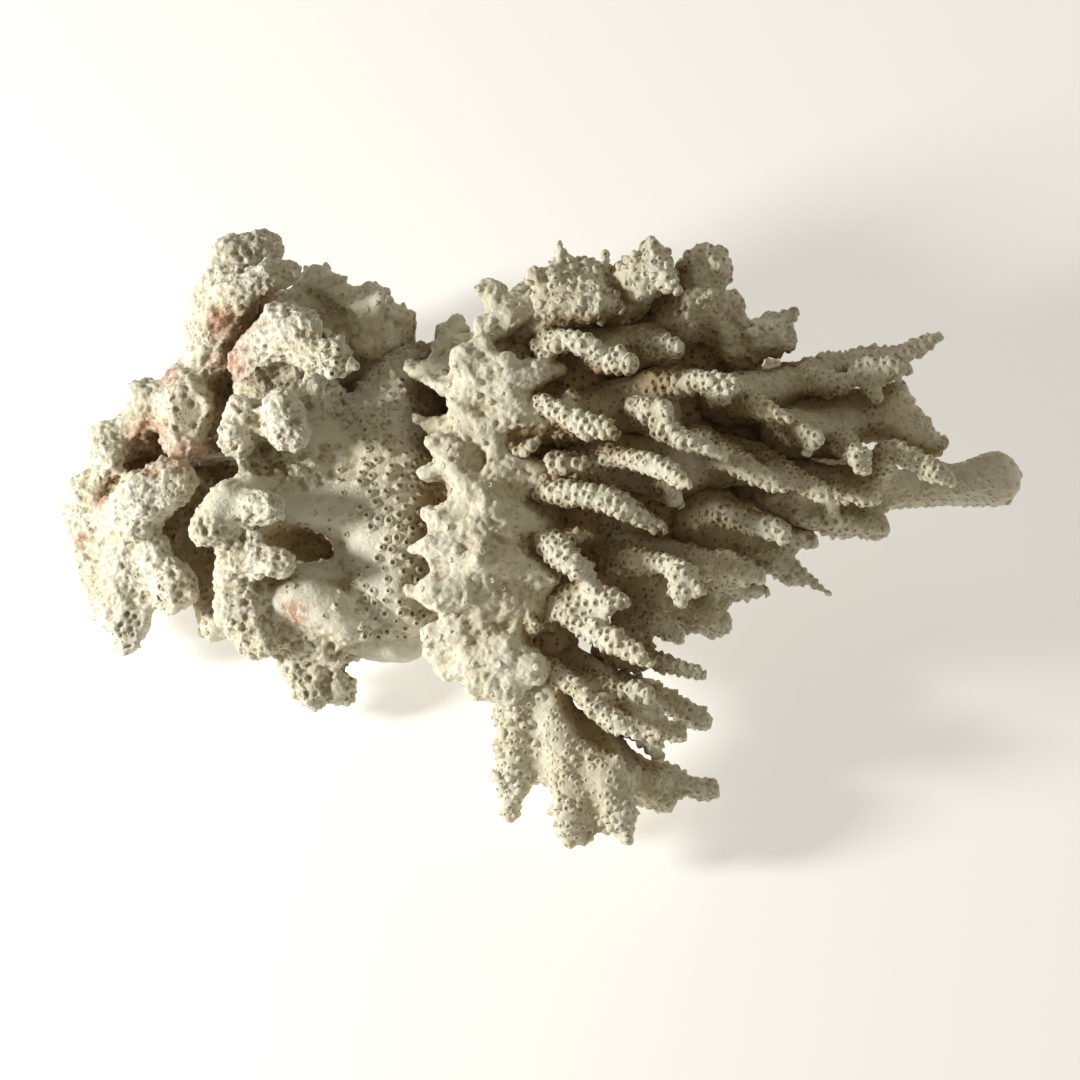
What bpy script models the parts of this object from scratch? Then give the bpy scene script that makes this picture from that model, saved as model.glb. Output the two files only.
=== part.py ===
# A colony of finger coral lying on its side, split at its main forks.
#
# Every limb is described by strokes: chains of round lumps joined by tapered
# necks. A lump is (across, up, toward, radius) in millimetres on a layout board
# that leans back from the floor: across runs to the right, up runs up the board
# and toward stands off it. The colony rests on one flat cut under its middle.

import math

import bmesh
import bpy
from mathutils import Matrix, Vector, noise

MM = 0.001

# How the board leans, and where the floor and the middle of the cut lie on it
BOARD_LEAN_DEG = 60.0
FLOOR_DROP = 40.0
CUT_CENTRE_ACROSS = -13.0
CUT_CENTRE_BACK = 28.0

# How the strokes become solids
GRAIN = 1.5
SMOOTHING_ROUNDS = 3
SMOOTHING_SHARE = 0.5
SMOOTHING_ALLOWANCE = 0.4
FORK_GAP = 0.65
FORK_GAP_MOST_STRETCH = 1.6
WHOLE_LIMB_SHARE = 0.66
PARTED_LIMB_SHARE = 0.73
LUMP_DETAIL = 3
NECK_SIDES = 12
LUMP_WAVE = 11.0
ROUND_EDGE_DEG = 60.0

# Bare skeleton: pale cream on worn lobes, warmer deep in the crown
CREAM = (0.76, 0.71, 0.58)
WORN_CREAM = (0.80, 0.76, 0.66)
WARM_CREAM = (0.66, 0.59, 0.44)
CHALKY_ROUGHNESS = 0.88


def limb(triangles, strokes, tint=CREAM, lumps=0.0):
    return {"triangles": triangles, "strokes": strokes, "tint": tint, "lumps": lumps}


LIMBS = {}

# The underside, cut off flat where the colony was broken from its rock
LIMBS["base"] = limb(300, [
    [(-50, 8, -42, 12), (-15, 4, -38, 18), (22, 6, -42, 14)],
    [(-44, 20, -50, 11), (-10, 22, -50, 15), (16, 20, -50, 12)],
    [(-22, -6, -34, 13), (8, -6, -34, 12)],
], WARM_CREAM)

# The smooth stalk between the old lobes on the left and the crown on the right
LIMBS["stalk"] = limb(420, [
    [(-34, 39, -34, 11), (-39, 22, -22, 14.5), (-37, 5, -14, 16.5), (-36, -12, -15, 14)],
    [(-36, -12, -15, 14), (-38, -24, -15, 6.8), (-33, -27, -15, 4)],
    [(-43.5, -24, -15, 5.6)],
    [(-37, 5, -14, 16), (-22, 5, -18, 14)],
    [(-50, 14, -14, 9), (-60, 15, -9, 6)],
    [(-46, -10, -15, 8), (-58, -11, -10, 6), (-66, -15, -8, 5.5)],
    [(-47, 22, -18, 8), (-60, 25, -14, 7)],
], WORN_CREAM)

# The heart of the crown, where its branches meet
LIMBS["crown"] = limb(520, [
    [(-8, 28, -20, 12), (15, 30, -22, 13), (38, 28, -26, 11), (56, 24, -28, 8)],
    [(-8, 5, -16, 12), (15, 5, -18, 13), (38, 6, -22, 10)],
    [(-8, -16, -10, 9), (2, -28, -6, 6)],
    [(0, 46, -20, 8), (25, 48, -26, 9), (42, 46, -28, 8)],
    [(15, -5, -16, 10), (30, -8, -18, 7)],
], WARM_CREAM)

# Old lobes and arms on the left, worn and chalky
LIMBS["top_left_lobe"] = limb(280, [
    [(-82, 41, -28, 5), (-82, 50, -25, 8.8), (-79.5, 60, -21, 9), (-77, 68, -20, 7.2)],
    [(-78.5, 71.5, -19, 5.2), (-68.5, 73.3, -22, 4.4)],
    [(-76, 62, -14, 6), (-69, 66, -11, 4.2), (-63, 67, -14, 3.6)],
    [(-80, 50, -28, 7), (-72, 44, -32, 7)],
], WORN_CREAM, 0.8)

LIMBS["top_back_lobes"] = limb(280, [
    [(-57, 50, -38, 8), (-57, 56, -36, 7), (-56, 64.5, -33, 6)],
    [(-51, 62.5, -27, 4), (-50.5, 66, -26, 2.5)],
    [(-42, 50, -34, 9), (-42, 59.5, -29, 5.8)],
    [(-37, 48, -36, 7), (-35.5, 55, -33, 5.4)],
    [(-40, 61, -24, 3.2)],
    [(-64, 44, -36, 8), (-50, 44, -38, 9), (-36, 42, -38, 8)],
    [(-66, 52, -36, 7), (-66, 59, -32, 5)],
], CREAM, 0.7)

LIMBS["upper_left_arm"] = limb(360, [
    [(-72, 45, -13, 6.5), (-67, 51, -6, 6.2), (-60, 51, 0, 6.2), (-57, 46, 3, 4.8)],
    [(-66, 55, -5, 4.5), (-58, 55.5, -3, 3.6)],
    [(-57, 46, 4, 4), (-51.5, 45, 7, 4.7)],
    [(-71, 38, -17, 7), (-58, 35, -19, 9)],
    [(-66, 50, -14, 7), (-62, 42, -16, 7)],
], WORN_CREAM, 0.7)

LIMBS["middle_left_arm"] = limb(280, [
    [(-68, 30, -14, 7), (-75, 27, -2, 5.6), (-76, 25, 0, 5)],
    [(-75, 33, -2, 3.8)],
    [(-64.5, 33.5, 6, 5.2), (-63, 27, 6, 5.8)],
    [(-59.5, 37, 4, 2)],
    [(-66, 29, -6, 7)],
], WORN_CREAM, 0.6)

LIMBS["broken_lobe"] = limb(260, [
    [(-88.5, 33.5, -20, 7.8), (-90, 26, -17, 6)],
    [(-91, 41, -24, 3.8)],
    [(-99, 35.5, -27, 5.6), (-100, 29, -27, 5.4), (-107, 27.5, -29, 3.8)],
    [(-88, 21.5, -20, 2.4), (-78, 20.5, -19, 2), (-69.5, 19.5, -18, 1.8)],
    [(-86, 32, -28, 7), (-78, 34, -34, 7), (-68, 36, -36, 7)],
], CREAM, 0.7)

LIMBS["far_left_lobe"] = limb(280, [
    [(-112.7, 9, -30, 8.2), (-110.5, -3, -29, 7.8), (-109.5, -11.5, -26, 6)],
    [(-108.5, 20.5, -23, 5.2), (-110.5, 27, -27, 3.4)],
    [(-108, 14, -31, 7), (-98, 20, -33, 6), (-90, 22, -33, 6)],
], WORN_CREAM, 0.6)

LIMBS["centre_left_lobe"] = limb(200, [
    [(-107, 6, -18, 5), (-99.5, 10.5, -10, 7.3), (-92.5, 14, -9, 6.6)],
    [(-102, 3, -12, 4.6)],
    [(-99, 10, -20, 7)],
], WORN_CREAM, 0.6)

LIMBS["lower_left_lobe"] = limb(280, [
    [(-103, 0, -20, 6.5), (-104, -9, -20, 6.5), (-104, -19, -19, 7), (-104, -25.3, -17, 3.9)],
    [(-98, -6, -18, 6), (-91.8, -12.2, -13, 6.6)],
    [(-108.5, -17, -22, 5)],
    [(-97, -3, -15, 5)],
], WORN_CREAM, 0.7)

LIMBS["left_back_arm"] = limb(200, [
    [(-86, 12, -33, 7), (-84, 0, -30, 7), (-83, -11, -26, 6.6), (-81, -20.5, -23, 6)],
    [(-98, -2, -30, 7), (-84, 2, -31, 7), (-66, 6, -33, 8), (-52, 6, -34, 8)],
    [(-78, 16, -34, 7), (-60, 20, -36, 8)],
    [(-70, 0, -31, 6.4), (-58, -3, -32, 6.6)],
], WARM_CREAM, 0.5)

LIMBS["central_arm"] = limb(300, [
    [(-58, 15, -8, 6), (-66, 14.5, -4, 4.4), (-73, 13.5, 0, 4.2), (-78.5, 10.5, 4, 4.8),
     (-83, 2.8, 5, 5.3)],
    [(-76, 8, 5, 4.6), (-67.5, 7.6, 9, 4.4)],
    [(-78, -1, 4, 3.4)],
], WORN_CREAM, 0.5)

LIMBS["lower_arm"] = limb(320, [
    [(-77, -6, 0, 5), (-69, -5, 4, 4.6), (-64.3, -6, 6, 4.2)],
    [(-76, -8, -4, 6), (-75, -17, -6, 7), (-71, -24, -7, 6.6)],
    [(-66, -14, -10, 6)],
    [(-69, -26, -4, 4.4)],
], WORN_CREAM, 0.7)

LIMBS["lower_middle_arm"] = limb(340, [
    [(-60, -15, -5, 6), (-52, -18.5, -4, 6), (-47.5, -21.5, -5, 4.8)],
    [(-63, -26, -9, 4), (-51.5, -29.3, -9, 3.6)],
    [(-62, -31.5, -13, 4.6), (-57.5, -38, -12, 4.4)],
    [(-55, -34, -14, 4.6), (-50, -37.5, -14, 4.7)],
    [(-56, -24, -12, 6)],
], WORN_CREAM, 0.6)

# The overhanging rim of the crown, worn to knobs and petals
LIMBS["rim_top"] = limb(380, [
    [(-22, 50.5, -29, 5.2), (-21.3, 54, -30, 3.4)],
    [(-23.5, 49, -20, 4), (-23.5, 45, -16, 3)],
    [(-32.5, 43.5, -14, 2.4), (-28, 42, -14, 3.6), (-22, 41, -13, 4)],
    [(-28, 40, -2, 2.3), (-23, 38, -1, 3.2), (-15, 37, 2, 3.6)],
    [(-18.5, 45.5, 3, 5), (-14.5, 48, 3, 3.8)],
    [(-16.5, 41.5, 4, 3.8), (-8.5, 44, 5, 3.8)],
    [(-13, 53, -2, 4.4), (-8, 55.5, -3, 4.8), (-3, 57, -6, 5)],
    [(-12.8, 62, -6, 3.4), (-9.5, 59, -6, 4)],
    [(-20, 44, -14, 8), (-10, 47, -12, 8)],
], WORN_CREAM, 0.5)

LIMBS["rim_middle"] = limb(400, [
    [(-30, 30, -3, 2.2), (-26, 28.5, -4, 3.4), (-18, 28, -4, 6)],
    [(-20, 33.5, 2, 3.2), (-17, 28.5, 4, 3.8), (-13, 25, 6, 3.4), (-11, 21.5, 8, 2.4)],
    [(-26.5, 24.5, 6, 2.7), (-20, 23, 6, 3.6)],
    [(-29.3, 16.6, 6, 2.1), (-24, 17, 5, 3.2)],
    [(-22, 19.5, 8, 3.2), (-19.5, 15, 9, 3.4), (-15, 12.5, 12, 2.8)],
    [(-21.5, 9.5, 9, 2.4), (-16.5, 8.5, 12, 2.8), (-12.8, 8.5, 13, 3.6)],
    [(-28, 6.5, 7, 2.7), (-24.5, 4.5, 9, 4.4), (-21.5, 1, 12, 4.8)],
    [(-14, 33, 0, 5), (-18, 20, -2, 7), (-16, 8, 2, 7)],
], WORN_CREAM, 0.5)

LIMBS["rim_bottom"] = limb(420, [
    [(-32, -2.5, 10, 1.7), (-26.5, -1.5, 12, 4.4), (-20.5, -3, 13, 4.6)],
    [(-15, -4.8, 17, 3.9), (-10, -5, 14, 4.4)],
    [(-32, -13, 12, 2.4), (-26, -13.2, 13, 4.8), (-19, -13.5, 13, 4.9), (-12, -13, 10, 5.6)],
    [(-27.5, -23.3, 8, 3.1), (-21, -23.2, 9, 4.2), (-14, -22, 9, 4.2)],
    [(-23.3, -32.8, 4, 2.9), (-19, -31.5, 5, 4)],
    [(-25.5, -28, 4, 3.6)],
    [(-16, -29.5, 7, 6.5), (-8, -29, 10, 6.2), (-2, -32, 10, 5.4)],
    [(-15, -36.2, 7, 4.6), (-8, -37, 8, 5)],
    [(-14, -6, 2, 8), (-12, -20, 3, 8)],
], WORN_CREAM, 0.5)

# Finger branches along the top of the crown
LIMBS["top_branch_left"] = limb(400, [
    [(-5, 52, -10, 7), (3, 58, -6, 7), (13, 59.5, -4, 6.4), (18.5, 59, -3, 4.2)],
    [(-2, 66.3, -3, 2.9), (3, 65, -4, 4)],
    [(5.2, 73.8, -6, 2.6), (5.6, 68, -6, 4)],
    [(4, 66, -6, 4.6), (10.5, 67.5, -7, 4.4), (14.5, 66.5, -8, 4.6)],
    [(16.6, 72, -16, 1.7), (16.6, 66, -14, 3.2)],
])

LIMBS["top_branch_middle"] = limb(280, [
    [(18, 58, -14, 8), (26, 66.5, -5, 6.6), (30, 69, -3, 5.2)],
    [(27.2, 74.2, -5, 3.3), (29, 70, -3, 5)],
    [(31, 66, 0, 5), (34.2, 62.5, 2, 3)],
    [(22.5, 69, -9, 3.6)],
])

LIMBS["top_branch_right"] = limb(420, [
    [(34, 56, -18, 9), (42, 67.8, -9, 6.9)],
    [(44.3, 68.5, -3, 3.4)],
    [(42, 58, -18, 7.5), (48.5, 59.5, -17, 4.4)],
    [(48, 50, -20, 7), (58, 50.5, -19, 5.6), (62, 50, -18, 4)],
    [(57, 55.5, -23, 3.4), (62, 55, -23, 3), (65.4, 58.2, -24, 1.7)],
    [(53, 52, -12, 3)],
    [(50, 44, -22, 5.4), (54, 42.5, -24, 3.6)],
])

# Fingers that reach forward from the heart of the crown
LIMBS["upper_front_branch"] = limb(340, [
    [(1, 49, -9, 6), (14, 47, -10, 7), (27, 48, -11, 7)],
    [(-1, 50, -8, 5), (5, 50, 3, 3.6), (9.5, 50, 6, 4.2), (12.8, 48.8, 7, 3.8)],
    [(12, 46, -4, 5), (18, 45, 5, 4.2), (21.8, 44, 8, 4)],
    [(26, 48, -6, 5.4), (33.5, 48, 3, 4)],
    [(-2.5, 49.3, 1, 2), (1, 46, 3, 2.4), (2.6, 43.2, 3, 1.7)],
])

LIMBS["front_branch_high"] = limb(540, [
    [(-6, 30, -6, 7), (10, 31, -7, 8), (24, 34, -9, 8), (30, 30, -9, 7)],
    [(-5, 36, 0, 3), (1, 33.5, 5, 4), (8, 30, 11, 4), (15, 28, 14, 3.8), (18.5, 26, 15, 2.8)],
    [(8, 35.5, 3, 3.4)],
    [(-9.5, 31.5, 6, 2), (-5.5, 30, 8, 2.4)],
    [(-10, 25.2, 6, 2), (-5.5, 21.6, 8, 2.4), (-0.5, 24.6, 9, 2.4)],
    [(-5, 27, -2, 6), (8, 28, 2, 5)],
    [(28, 38, -7, 6), (36, 39.5, 3, 3.8), (43, 39.4, 7, 4), (48.6, 38.6, 10, 3.6)],
    [(43, 35, 4, 2.6), (48, 34.2, 6, 2.1)],
    [(24, 33, 4, 4.6), (26, 32.5, 12, 3.6), (31, 32.6, 16, 3.4)],
    [(26, 30, 6, 4), (31.5, 26.8, 14, 4.1), (39, 24, 16, 3.5), (46, 20.8, 15, 2.7)],
])

LIMBS["front_branch_middle"] = limb(500, [
    [(4, 18, -6, 7), (18, 20, -6, 7.5), (34, 18, -9, 8), (46, 20, -12, 7), (56, 19, -13, 6)],
    [(15, 21, 0, 4.6), (20, 20.5, 13, 3.6), (27, 19.3, 19, 4), (33, 16.6, 23, 3.8),
     (36.9, 14.2, 25, 2.6)],
    [(3, 19, -1, 5), (4, 19, 8, 4), (10, 18, 8, 4.2), (15.3, 16.8, 6, 2.8)],
    [(2.2, 14, 8, 2.8)],
    [(29, 14, 0, 4), (32.5, 12, 9, 3.6), (35, 9, 9, 3)],
    [(40, 24, -8, 6), (48, 20, 4, 4.2), (56, 16, 9, 3.7), (60.2, 13.3, 11, 3.1)],
    [(54, 20, -6, 5), (62, 17, 4, 3.8), (68.5, 13, 9, 3.4), (72, 11, 11, 2.7)],
])

# Branches that sweep to the right
LIMBS["right_spray"] = limb(540, [
    [(46, 35, -15, 7), (57, 36, -18, 7), (64, 40, -20, 5.6)],
    [(56, 32, -20, 6), (64, 41, -20, 5), (72, 43, -19, 4.8), (81, 44.5, -18, 4.3),
     (91, 46.5, -19, 4.2), (96.5, 49.3, -20, 3.5), (99.8, 50.8, -20, 2.9)],
    [(68.5, 44.8, -20, 2.8)],
    [(80.3, 46.5, -20, 2.4)],
    [(81, 43, -10, 3.7), (88.5, 43, -6, 3.5), (91.8, 42.7, -6, 3.1)],
    [(82, 40, -10, 3.4), (84, 35.8, -6, 3)],
    [(60, 39.5, -17, 4.4), (70, 39.4, -13, 4), (76.3, 39, -9, 3.4)],
    [(45, 36, -12, 6), (52, 34.2, 0, 4.2), (58.5, 31.6, 7, 3.5), (62, 30.6, 9, 2.7)],
])

LIMBS["right_plate"] = limb(380, [
    [(62, 27, -14, 7), (74, 26, -15, 6.4)],
    [(58, 30, -22, 7), (66, 32, -19, 5.4), (76, 31, -19, 7), (86, 31.5, -20, 7),
     (92, 28, -20, 6.4), (98.5, 23.6, -20, 4.4)],
    [(89, 36, -19, 5.4)],
    [(102.8, 24.8, -20, 2.2)],
    [(62, 27, -8, 5), (64.5, 26.8, 4, 3.7), (69, 25.4, 9, 3.2)],
    [(66.5, 21.2, 9, 2.2)],
    [(74, 25, -12, 5), (77.5, 23, 2, 3.6), (80, 20, 12, 3.9), (81, 17.6, 13, 2.8)],
    [(76.5, 26, -4, 3)],
])

LIMBS["right_arm"] = limb(480, [
    [(60, 13, -15, 7.6), (72, 12, -12, 6.6), (84, 15, -12, 6)],
    [(56, 16, -20, 9), (70, 13.5, -15, 6.4), (85, 12.6, -14, 5.8), (100, 13.6, -14, 5.8),
     (108, 14.3, -14, 6.2), (114, 15.5, -14, 7.2)],
    [(84, 19, -9, 5), (88, 22.4, 1, 3.8), (93, 20.5, 7, 3.7), (99, 16.7, 10, 4.2),
     (102.6, 15, 9, 2.8)],
    [(64, 14, -8, 5), (74, 12.8, -1, 4.2), (83.5, 10.6, 3, 3.5)],
    [(66, 8, -12, 6), (78, 4.4, -9, 4.8), (85, 3.2, -8, 4.3)],
    [(73, 4.4, -3, 3.8)],
])

LIMBS["lower_right_branch"] = limb(340, [
    [(40, 4, -12, 8), (50, 2, -13, 6)],
    [(40, 9, -12, 6), (46, 7.4, -3, 4.8), (54, 4.2, 1, 4.3), (60.6, 1.2, 3, 3.8)],
    [(50, 4, -14, 5), (60, 2, -12, 3.8), (68.3, -0.3, -12, 3.1)],
    [(38, 0, -16, 7), (48, -0.5, -13, 5.4), (58, -5, -13, 4.6), (66, -9.2, -13, 3.2),
     (72.8, -13.8, -12, 1.9)],
])

# Fingers that reach forward and down from the middle of the crown
LIMBS["front_branch_low"] = limb(540, [
    [(18, -4, -7, 8), (30, -8, -9, 8), (40, -8, -11, 6)],
    [(18, -8, -6, 7), (26, -18, -8, 7), (22, -24, -6, 5)],
    [(14, -4, -3, 5.4), (23, -5, 8, 5), (31, -6, 13, 3.8), (36, -8.8, 17, 4.6), (39.6, -12.6, 18, 2.9)],
    [(34, -13, 16, 3.4), (35.4, -16.4, 18, 2.2)],
    [(32, -5, -6, 6), (42, -6, 2, 4.8), (50, -7.2, 3, 4.2), (54.6, -9, 3, 3.4)],
    [(44, -10, -5, 4.4), (49.8, -10.8, 0, 2.6)],
    [(38, -9, -12, 5), (46, -10.4, -8, 4.2), (54, -12.2, -9, 3.2), (57, -13, -9, 2.2)],
    [(24, -15, -4, 6), (29, -21, 4, 3.9), (34.5, -24, 6, 3.4)],
    [(26, -14, -9, 6), (37, -18.5, -8, 5), (45.3, -21, -9, 4.5)],
    [(16, -28, -6, 5), (24, -30, -6, 4.6)],
    [(20, -24, -4, 5), (28, -29.8, -3, 3.8), (35, -32, -2, 3.2), (40.4, -33.7, -2, 2.9)],
])

LIMBS["centre_branch"] = limb(540, [
    [(0, 8, -5, 8), (2, -4, -3, 8), (4, -15, -2, 7)],
    [(-2, 12, 0, 5), (3, 12, 9, 4.4), (10, 11.4, 13, 4.4), (18, 9.4, 15, 4.6), (24, 6, 13, 3.8),
     (31, 3, 11, 2.8)],
    [(-1, 2, 0, 6), (4, -2.6, 14, 4.2), (8, -5.8, 17, 4.2), (12, -9, 14, 3.2)],
    [(6, 0.6, 10, 3), (12, 1.6, 10, 3)],
    [(3, -12, 0, 6), (10, -13, 8, 4.4), (15, -14, 13, 4.2), (19.8, -15, 15, 3.9)],
    [(0, -16, 2, 5), (6, -18, 10, 4), (12.5, -22.2, 15, 4.1), (19, -26, 19, 4.1), (25, -29, 22, 3.4),
     (27.6, -31, 22, 2.4)],
    [(-4.6, -16.4, 11, 2.1), (-2, -20, 12, 2.4), (0.2, -22.6, 12, 1.8)],
])

# Fingers that hang towards the front
LIMBS["bottom_right_branch"] = limb(500, [
    [(6, -31, -3, 6), (14, -36, -4, 6.4), (20, -42, -3, 6)],
    [(2, -33, 6, 5), (9, -37, 12, 3.2), (14.3, -42, 17, 3.6), (20, -46, 21, 3.5), (23.8, -48.6, 22, 2.5)],
    [(9, -33, 0, 5), (14, -36, 7, 4), (20.5, -38, 11, 3.7), (26.4, -38, 14, 3.6)],
    [(20, -42, 6, 3.8), (24.5, -42.4, 11, 3.5), (29.6, -43, 12, 2.3)],
    [(22, -45, 6, 3.6), (31, -47.4, 10, 3.7), (35.6, -49, 10, 3)],
    [(34.5, -46.4, 9, 3)],
    [(20, -46, 1, 4), (26, -48, 4, 3.9), (29.4, -54, 5, 3.2)],
    [(16, -35, -7, 5), (26, -38, -10, 4.4), (33.5, -41.5, -11, 4), (40.5, -45.4, -10, 4.3)],
    [(32, -39, -12, 3.2)],
])

LIMBS["bottom_branch"] = limb(520, [
    [(-3, -36, 4, 6), (-6, -43, 6, 4.6), (-6.2, -53, 7, 4.5), (-7, -62, 8, 4.2), (-7.5, -67.8, 9, 3.2)],
    [(-10.5, -42.5, 5, 2.2), (-12.2, -45.2, 5, 1.4)],
    [(-8, -52.3, 7, 3), (-11.4, -52.4, 7, 1.9)],
    [(-8, -58.7, 8, 3), (-11, -58.8, 8, 1.9)],
    [(2, -36, 4, 6.4), (3, -43, 6, 5.6), (6.3, -53, 9, 6.2), (8, -63, 12, 5.6), (7.4, -70, 13, 5)],
    [(7.8, -74.6, 13, 2.6), (11.4, -74.2, 13, 2.4)],
    [(12, -54, 10, 5), (17.5, -61.5, 13, 6.4), (19.8, -68, 14, 5), (21.8, -74.4, 14, 2.5)],
    [(18.6, -57, 14, 3.6), (19.8, -53.8, 15, 2)],
    [(12, -48, 2, 6), (20, -56, 1, 5.6), (27, -62, 1, 5.4), (30.8, -65.2, 1, 3.6)],
    [(26, -57.6, -2, 3.8), (36, -60.4, -2, 3.1), (42.3, -62.6, -2, 3.2)],
])

# Lobes and fingers on the far side, which the front hides
LIMBS["back_left_lobe"] = limb(300, [
    [(-46, 28, -42, 11), (-58, 36, -50, 8), (-68, 44, -54, 6), (-76, 52, -52, 5)],
    [(-58, 36, -50, 8), (-64, 28, -52, 6), (-76, 24, -49, 6), (-88, 22, -45, 5)],
    [(-56, 40, -50, 6), (-56, 52, -56, 5), (-58, 60, -58, 3.8)],
], CREAM, 0.6)

LIMBS["back_middle_branch"] = limb(360, [
    [(-14, 34, -38, 11), (-18, 44, -48, 6.5), (-22, 50, -58, 4.6), (-24, 53, -66, 3.4)],
    [(-18, 40, -46, 7), (-34, 46, -54, 5), (-42, 52, -60, 4), (-46, 56, -64, 3)],
    [(-12, 42, -42, 7), (-8, 52, -50, 5), (-4, 58, -56, 4), (-2, 62, -60, 3)],
    [(-10, 34, -46, 7), (-10, 40, -57, 4.6), (-12, 44, -64, 3.4)],
    [(-8, 46, -34, 7), (-6, 58, -36, 5), (-3, 64, -38, 3.4)],
])

LIMBS["back_right_branch"] = limb(380, [
    [(22, 34, -38, 11), (24, 46, -48, 6.5), (26, 54, -58, 4.6), (27, 58, -64, 3.4)],
    [(26, 42, -44, 7), (38, 50, -50, 5), (44, 56, -54, 4), (47, 60, -56, 3)],
    [(20, 44, -42, 7), (14, 56, -46, 5), (12, 63, -48, 4), (12, 67, -48, 3)],
    [(22, 32, -46, 7), (14, 40, -57, 4.8), (12, 46, -65, 3.6)],
    [(28, 34, -44, 7), (40, 36, -54, 4.8), (46, 40, -60, 3.6)],
    [(30, 52, -34, 7), (34, 62, -36, 5), (36, 67, -36, 3.6)],
])

LIMBS["back_far_right_branch"] = limb(360, [
    [(52, 22, -36, 8), (62, 28, -42, 5.5), (70, 32, -46, 4.2), (76, 35, -48, 3.2)],
    [(56, 20, -36, 7), (66, 18, -40, 5), (78, 18, -40, 4.2), (88, 18, -38, 3.2)],
    [(50, 28, -40, 7), (56, 38, -46, 4.8), (60, 43, -50, 3.6)],
    [(58, 32, -34, 6), (68, 37, -36, 4.4), (78, 40, -36, 3.4)],
    [(48, 12, -34, 7), (58, 6, -34, 4.8), (66, 4, -32, 3.4)],
])


def board_to_world(across, up, toward):
    lean = math.radians(BOARD_LEAN_DEG)
    x = across - CUT_CENTRE_ACROSS
    y = up * math.sin(lean) - toward * math.cos(lean) - CUT_CENTRE_BACK
    z = up * math.cos(lean) + toward * math.sin(lean) + FLOOR_DROP
    return Vector((x, y, z)) * MM


def add_lump(shape, centre, radius):
    bmesh.ops.create_icosphere(
        shape, subdivisions=LUMP_DETAIL, radius=radius, matrix=Matrix.Translation(centre)
    )


def add_neck(shape, start, end, start_radius, end_radius):
    axis = end - start
    turn = axis.to_track_quat("Z", "Y").to_matrix().to_4x4()
    bmesh.ops.create_cone(
        shape,
        cap_ends=True,
        segments=NECK_SIDES,
        radius1=start_radius,
        radius2=end_radius,
        depth=axis.length,
        matrix=Matrix.Translation((start + end) / 2) @ turn,
    )


def add_stroke(shape, stroke):
    spots = [(board_to_world(*lump[:3]), (lump[3] + SMOOTHING_ALLOWANCE) * MM) for lump in stroke]
    for centre, radius in spots:
        add_lump(shape, centre, radius)
    for (start, start_radius), (end, end_radius) in zip(spots, spots[1:]):
        add_neck(shape, start, end, start_radius, end_radius)


def bake_modifiers(thing):
    bpy.context.view_layer.update()
    graph = bpy.context.evaluated_depsgraph_get()
    finished = bpy.data.meshes.new_from_object(thing.evaluated_get(graph))
    thing.modifiers.clear()
    thing.data = finished


def roughen(mesh, height):
    # Low swells, as on old skeleton worn by the sea
    mesh_normals = [v.normal.copy() for v in mesh.vertices]
    for vertex, normal in zip(mesh.vertices, mesh_normals):
        swell = noise.noise(vertex.co / (LUMP_WAVE * MM))
        vertex.co += normal * swell * height * MM


def shell_volume(faces):
    volume = 0.0
    for face in faces:
        corner = face.verts[0].co
        for i in range(1, len(face.verts) - 1):
            volume += corner.dot(face.verts[i].co.cross(face.verts[i + 1].co)) / 6.0
    return volume


def keep_largest_shell(mesh):
    shape = bmesh.new()
    shape.from_mesh(mesh)
    unseen = set(shape.faces)
    shells = []
    while unseen:
        first = unseen.pop()
        shell = [first]
        queue = [first]
        while queue:
            face = queue.pop()
            for edge in face.edges:
                for other in edge.link_faces:
                    if other in unseen:
                        unseen.remove(other)
                        shell.append(other)
                        queue.append(other)
        shells.append(shell)
    shells.sort(key=shell_volume, reverse=True)
    spare = [face for shell in shells[1:] for face in shell]
    bmesh.ops.delete(shape, geom=spare, context="FACES")
    loose = [vertex for vertex in shape.verts if not vertex.link_faces]
    bmesh.ops.delete(shape, geom=loose, context="VERTS")
    shape.to_mesh(mesh)
    shape.free()


def facet(thing, wanted):
    triangles = sum(len(face.vertices) - 2 for face in thing.data.polygons)
    if triangles <= wanted:
        return
    thin = thing.modifiers.new("Facets", "DECIMATE")
    thin.decimate_type = "COLLAPSE"
    thin.ratio = wanted / triangles
    thin.use_collapse_triangulate = True
    bake_modifiers(thing)
    keep_largest_shell(thing.data)


def model_limb(name, plan):
    shape = bmesh.new()
    for stroke in plan["strokes"]:
        add_stroke(shape, stroke)
    mesh = bpy.data.meshes.new(name)
    shape.to_mesh(mesh)
    shape.free()
    thing = bpy.data.objects.new(name, mesh)
    bpy.context.scene.collection.objects.link(thing)

    fuse = thing.modifiers.new("Fuse", "REMESH")
    fuse.mode = "VOXEL"
    fuse.voxel_size = GRAIN * MM
    soften = thing.modifiers.new("Soften", "SMOOTH")
    soften.factor = SMOOTHING_SHARE
    soften.iterations = SMOOTHING_ROUNDS
    bake_modifiers(thing)
    keep_largest_shell(thing.data)
    if plan["lumps"]:
        roughen(thing.data, plan["lumps"])

    facet(thing, plan["triangles"] * WHOLE_LIMB_SHARE)
    return thing


def cut_flat(thing):
    # The colony's cut: everything below the floor goes, and the hole is closed
    shape = bmesh.new()
    shape.from_mesh(thing.data)
    everything = shape.verts[:] + shape.edges[:] + shape.faces[:]
    bmesh.ops.bisect_plane(
        shape, geom=everything, plane_co=(0, 0, 0), plane_no=(0, 0, 1), clear_inner=True
    )
    open_edges = [edge for edge in shape.edges if edge.is_boundary]
    bmesh.ops.triangle_fill(shape, use_beauty=True, use_dissolve=False, edges=open_edges)
    bmesh.ops.recalc_face_normals(shape, faces=shape.faces[:])
    shape.to_mesh(thing.data)
    shape.free()


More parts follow.
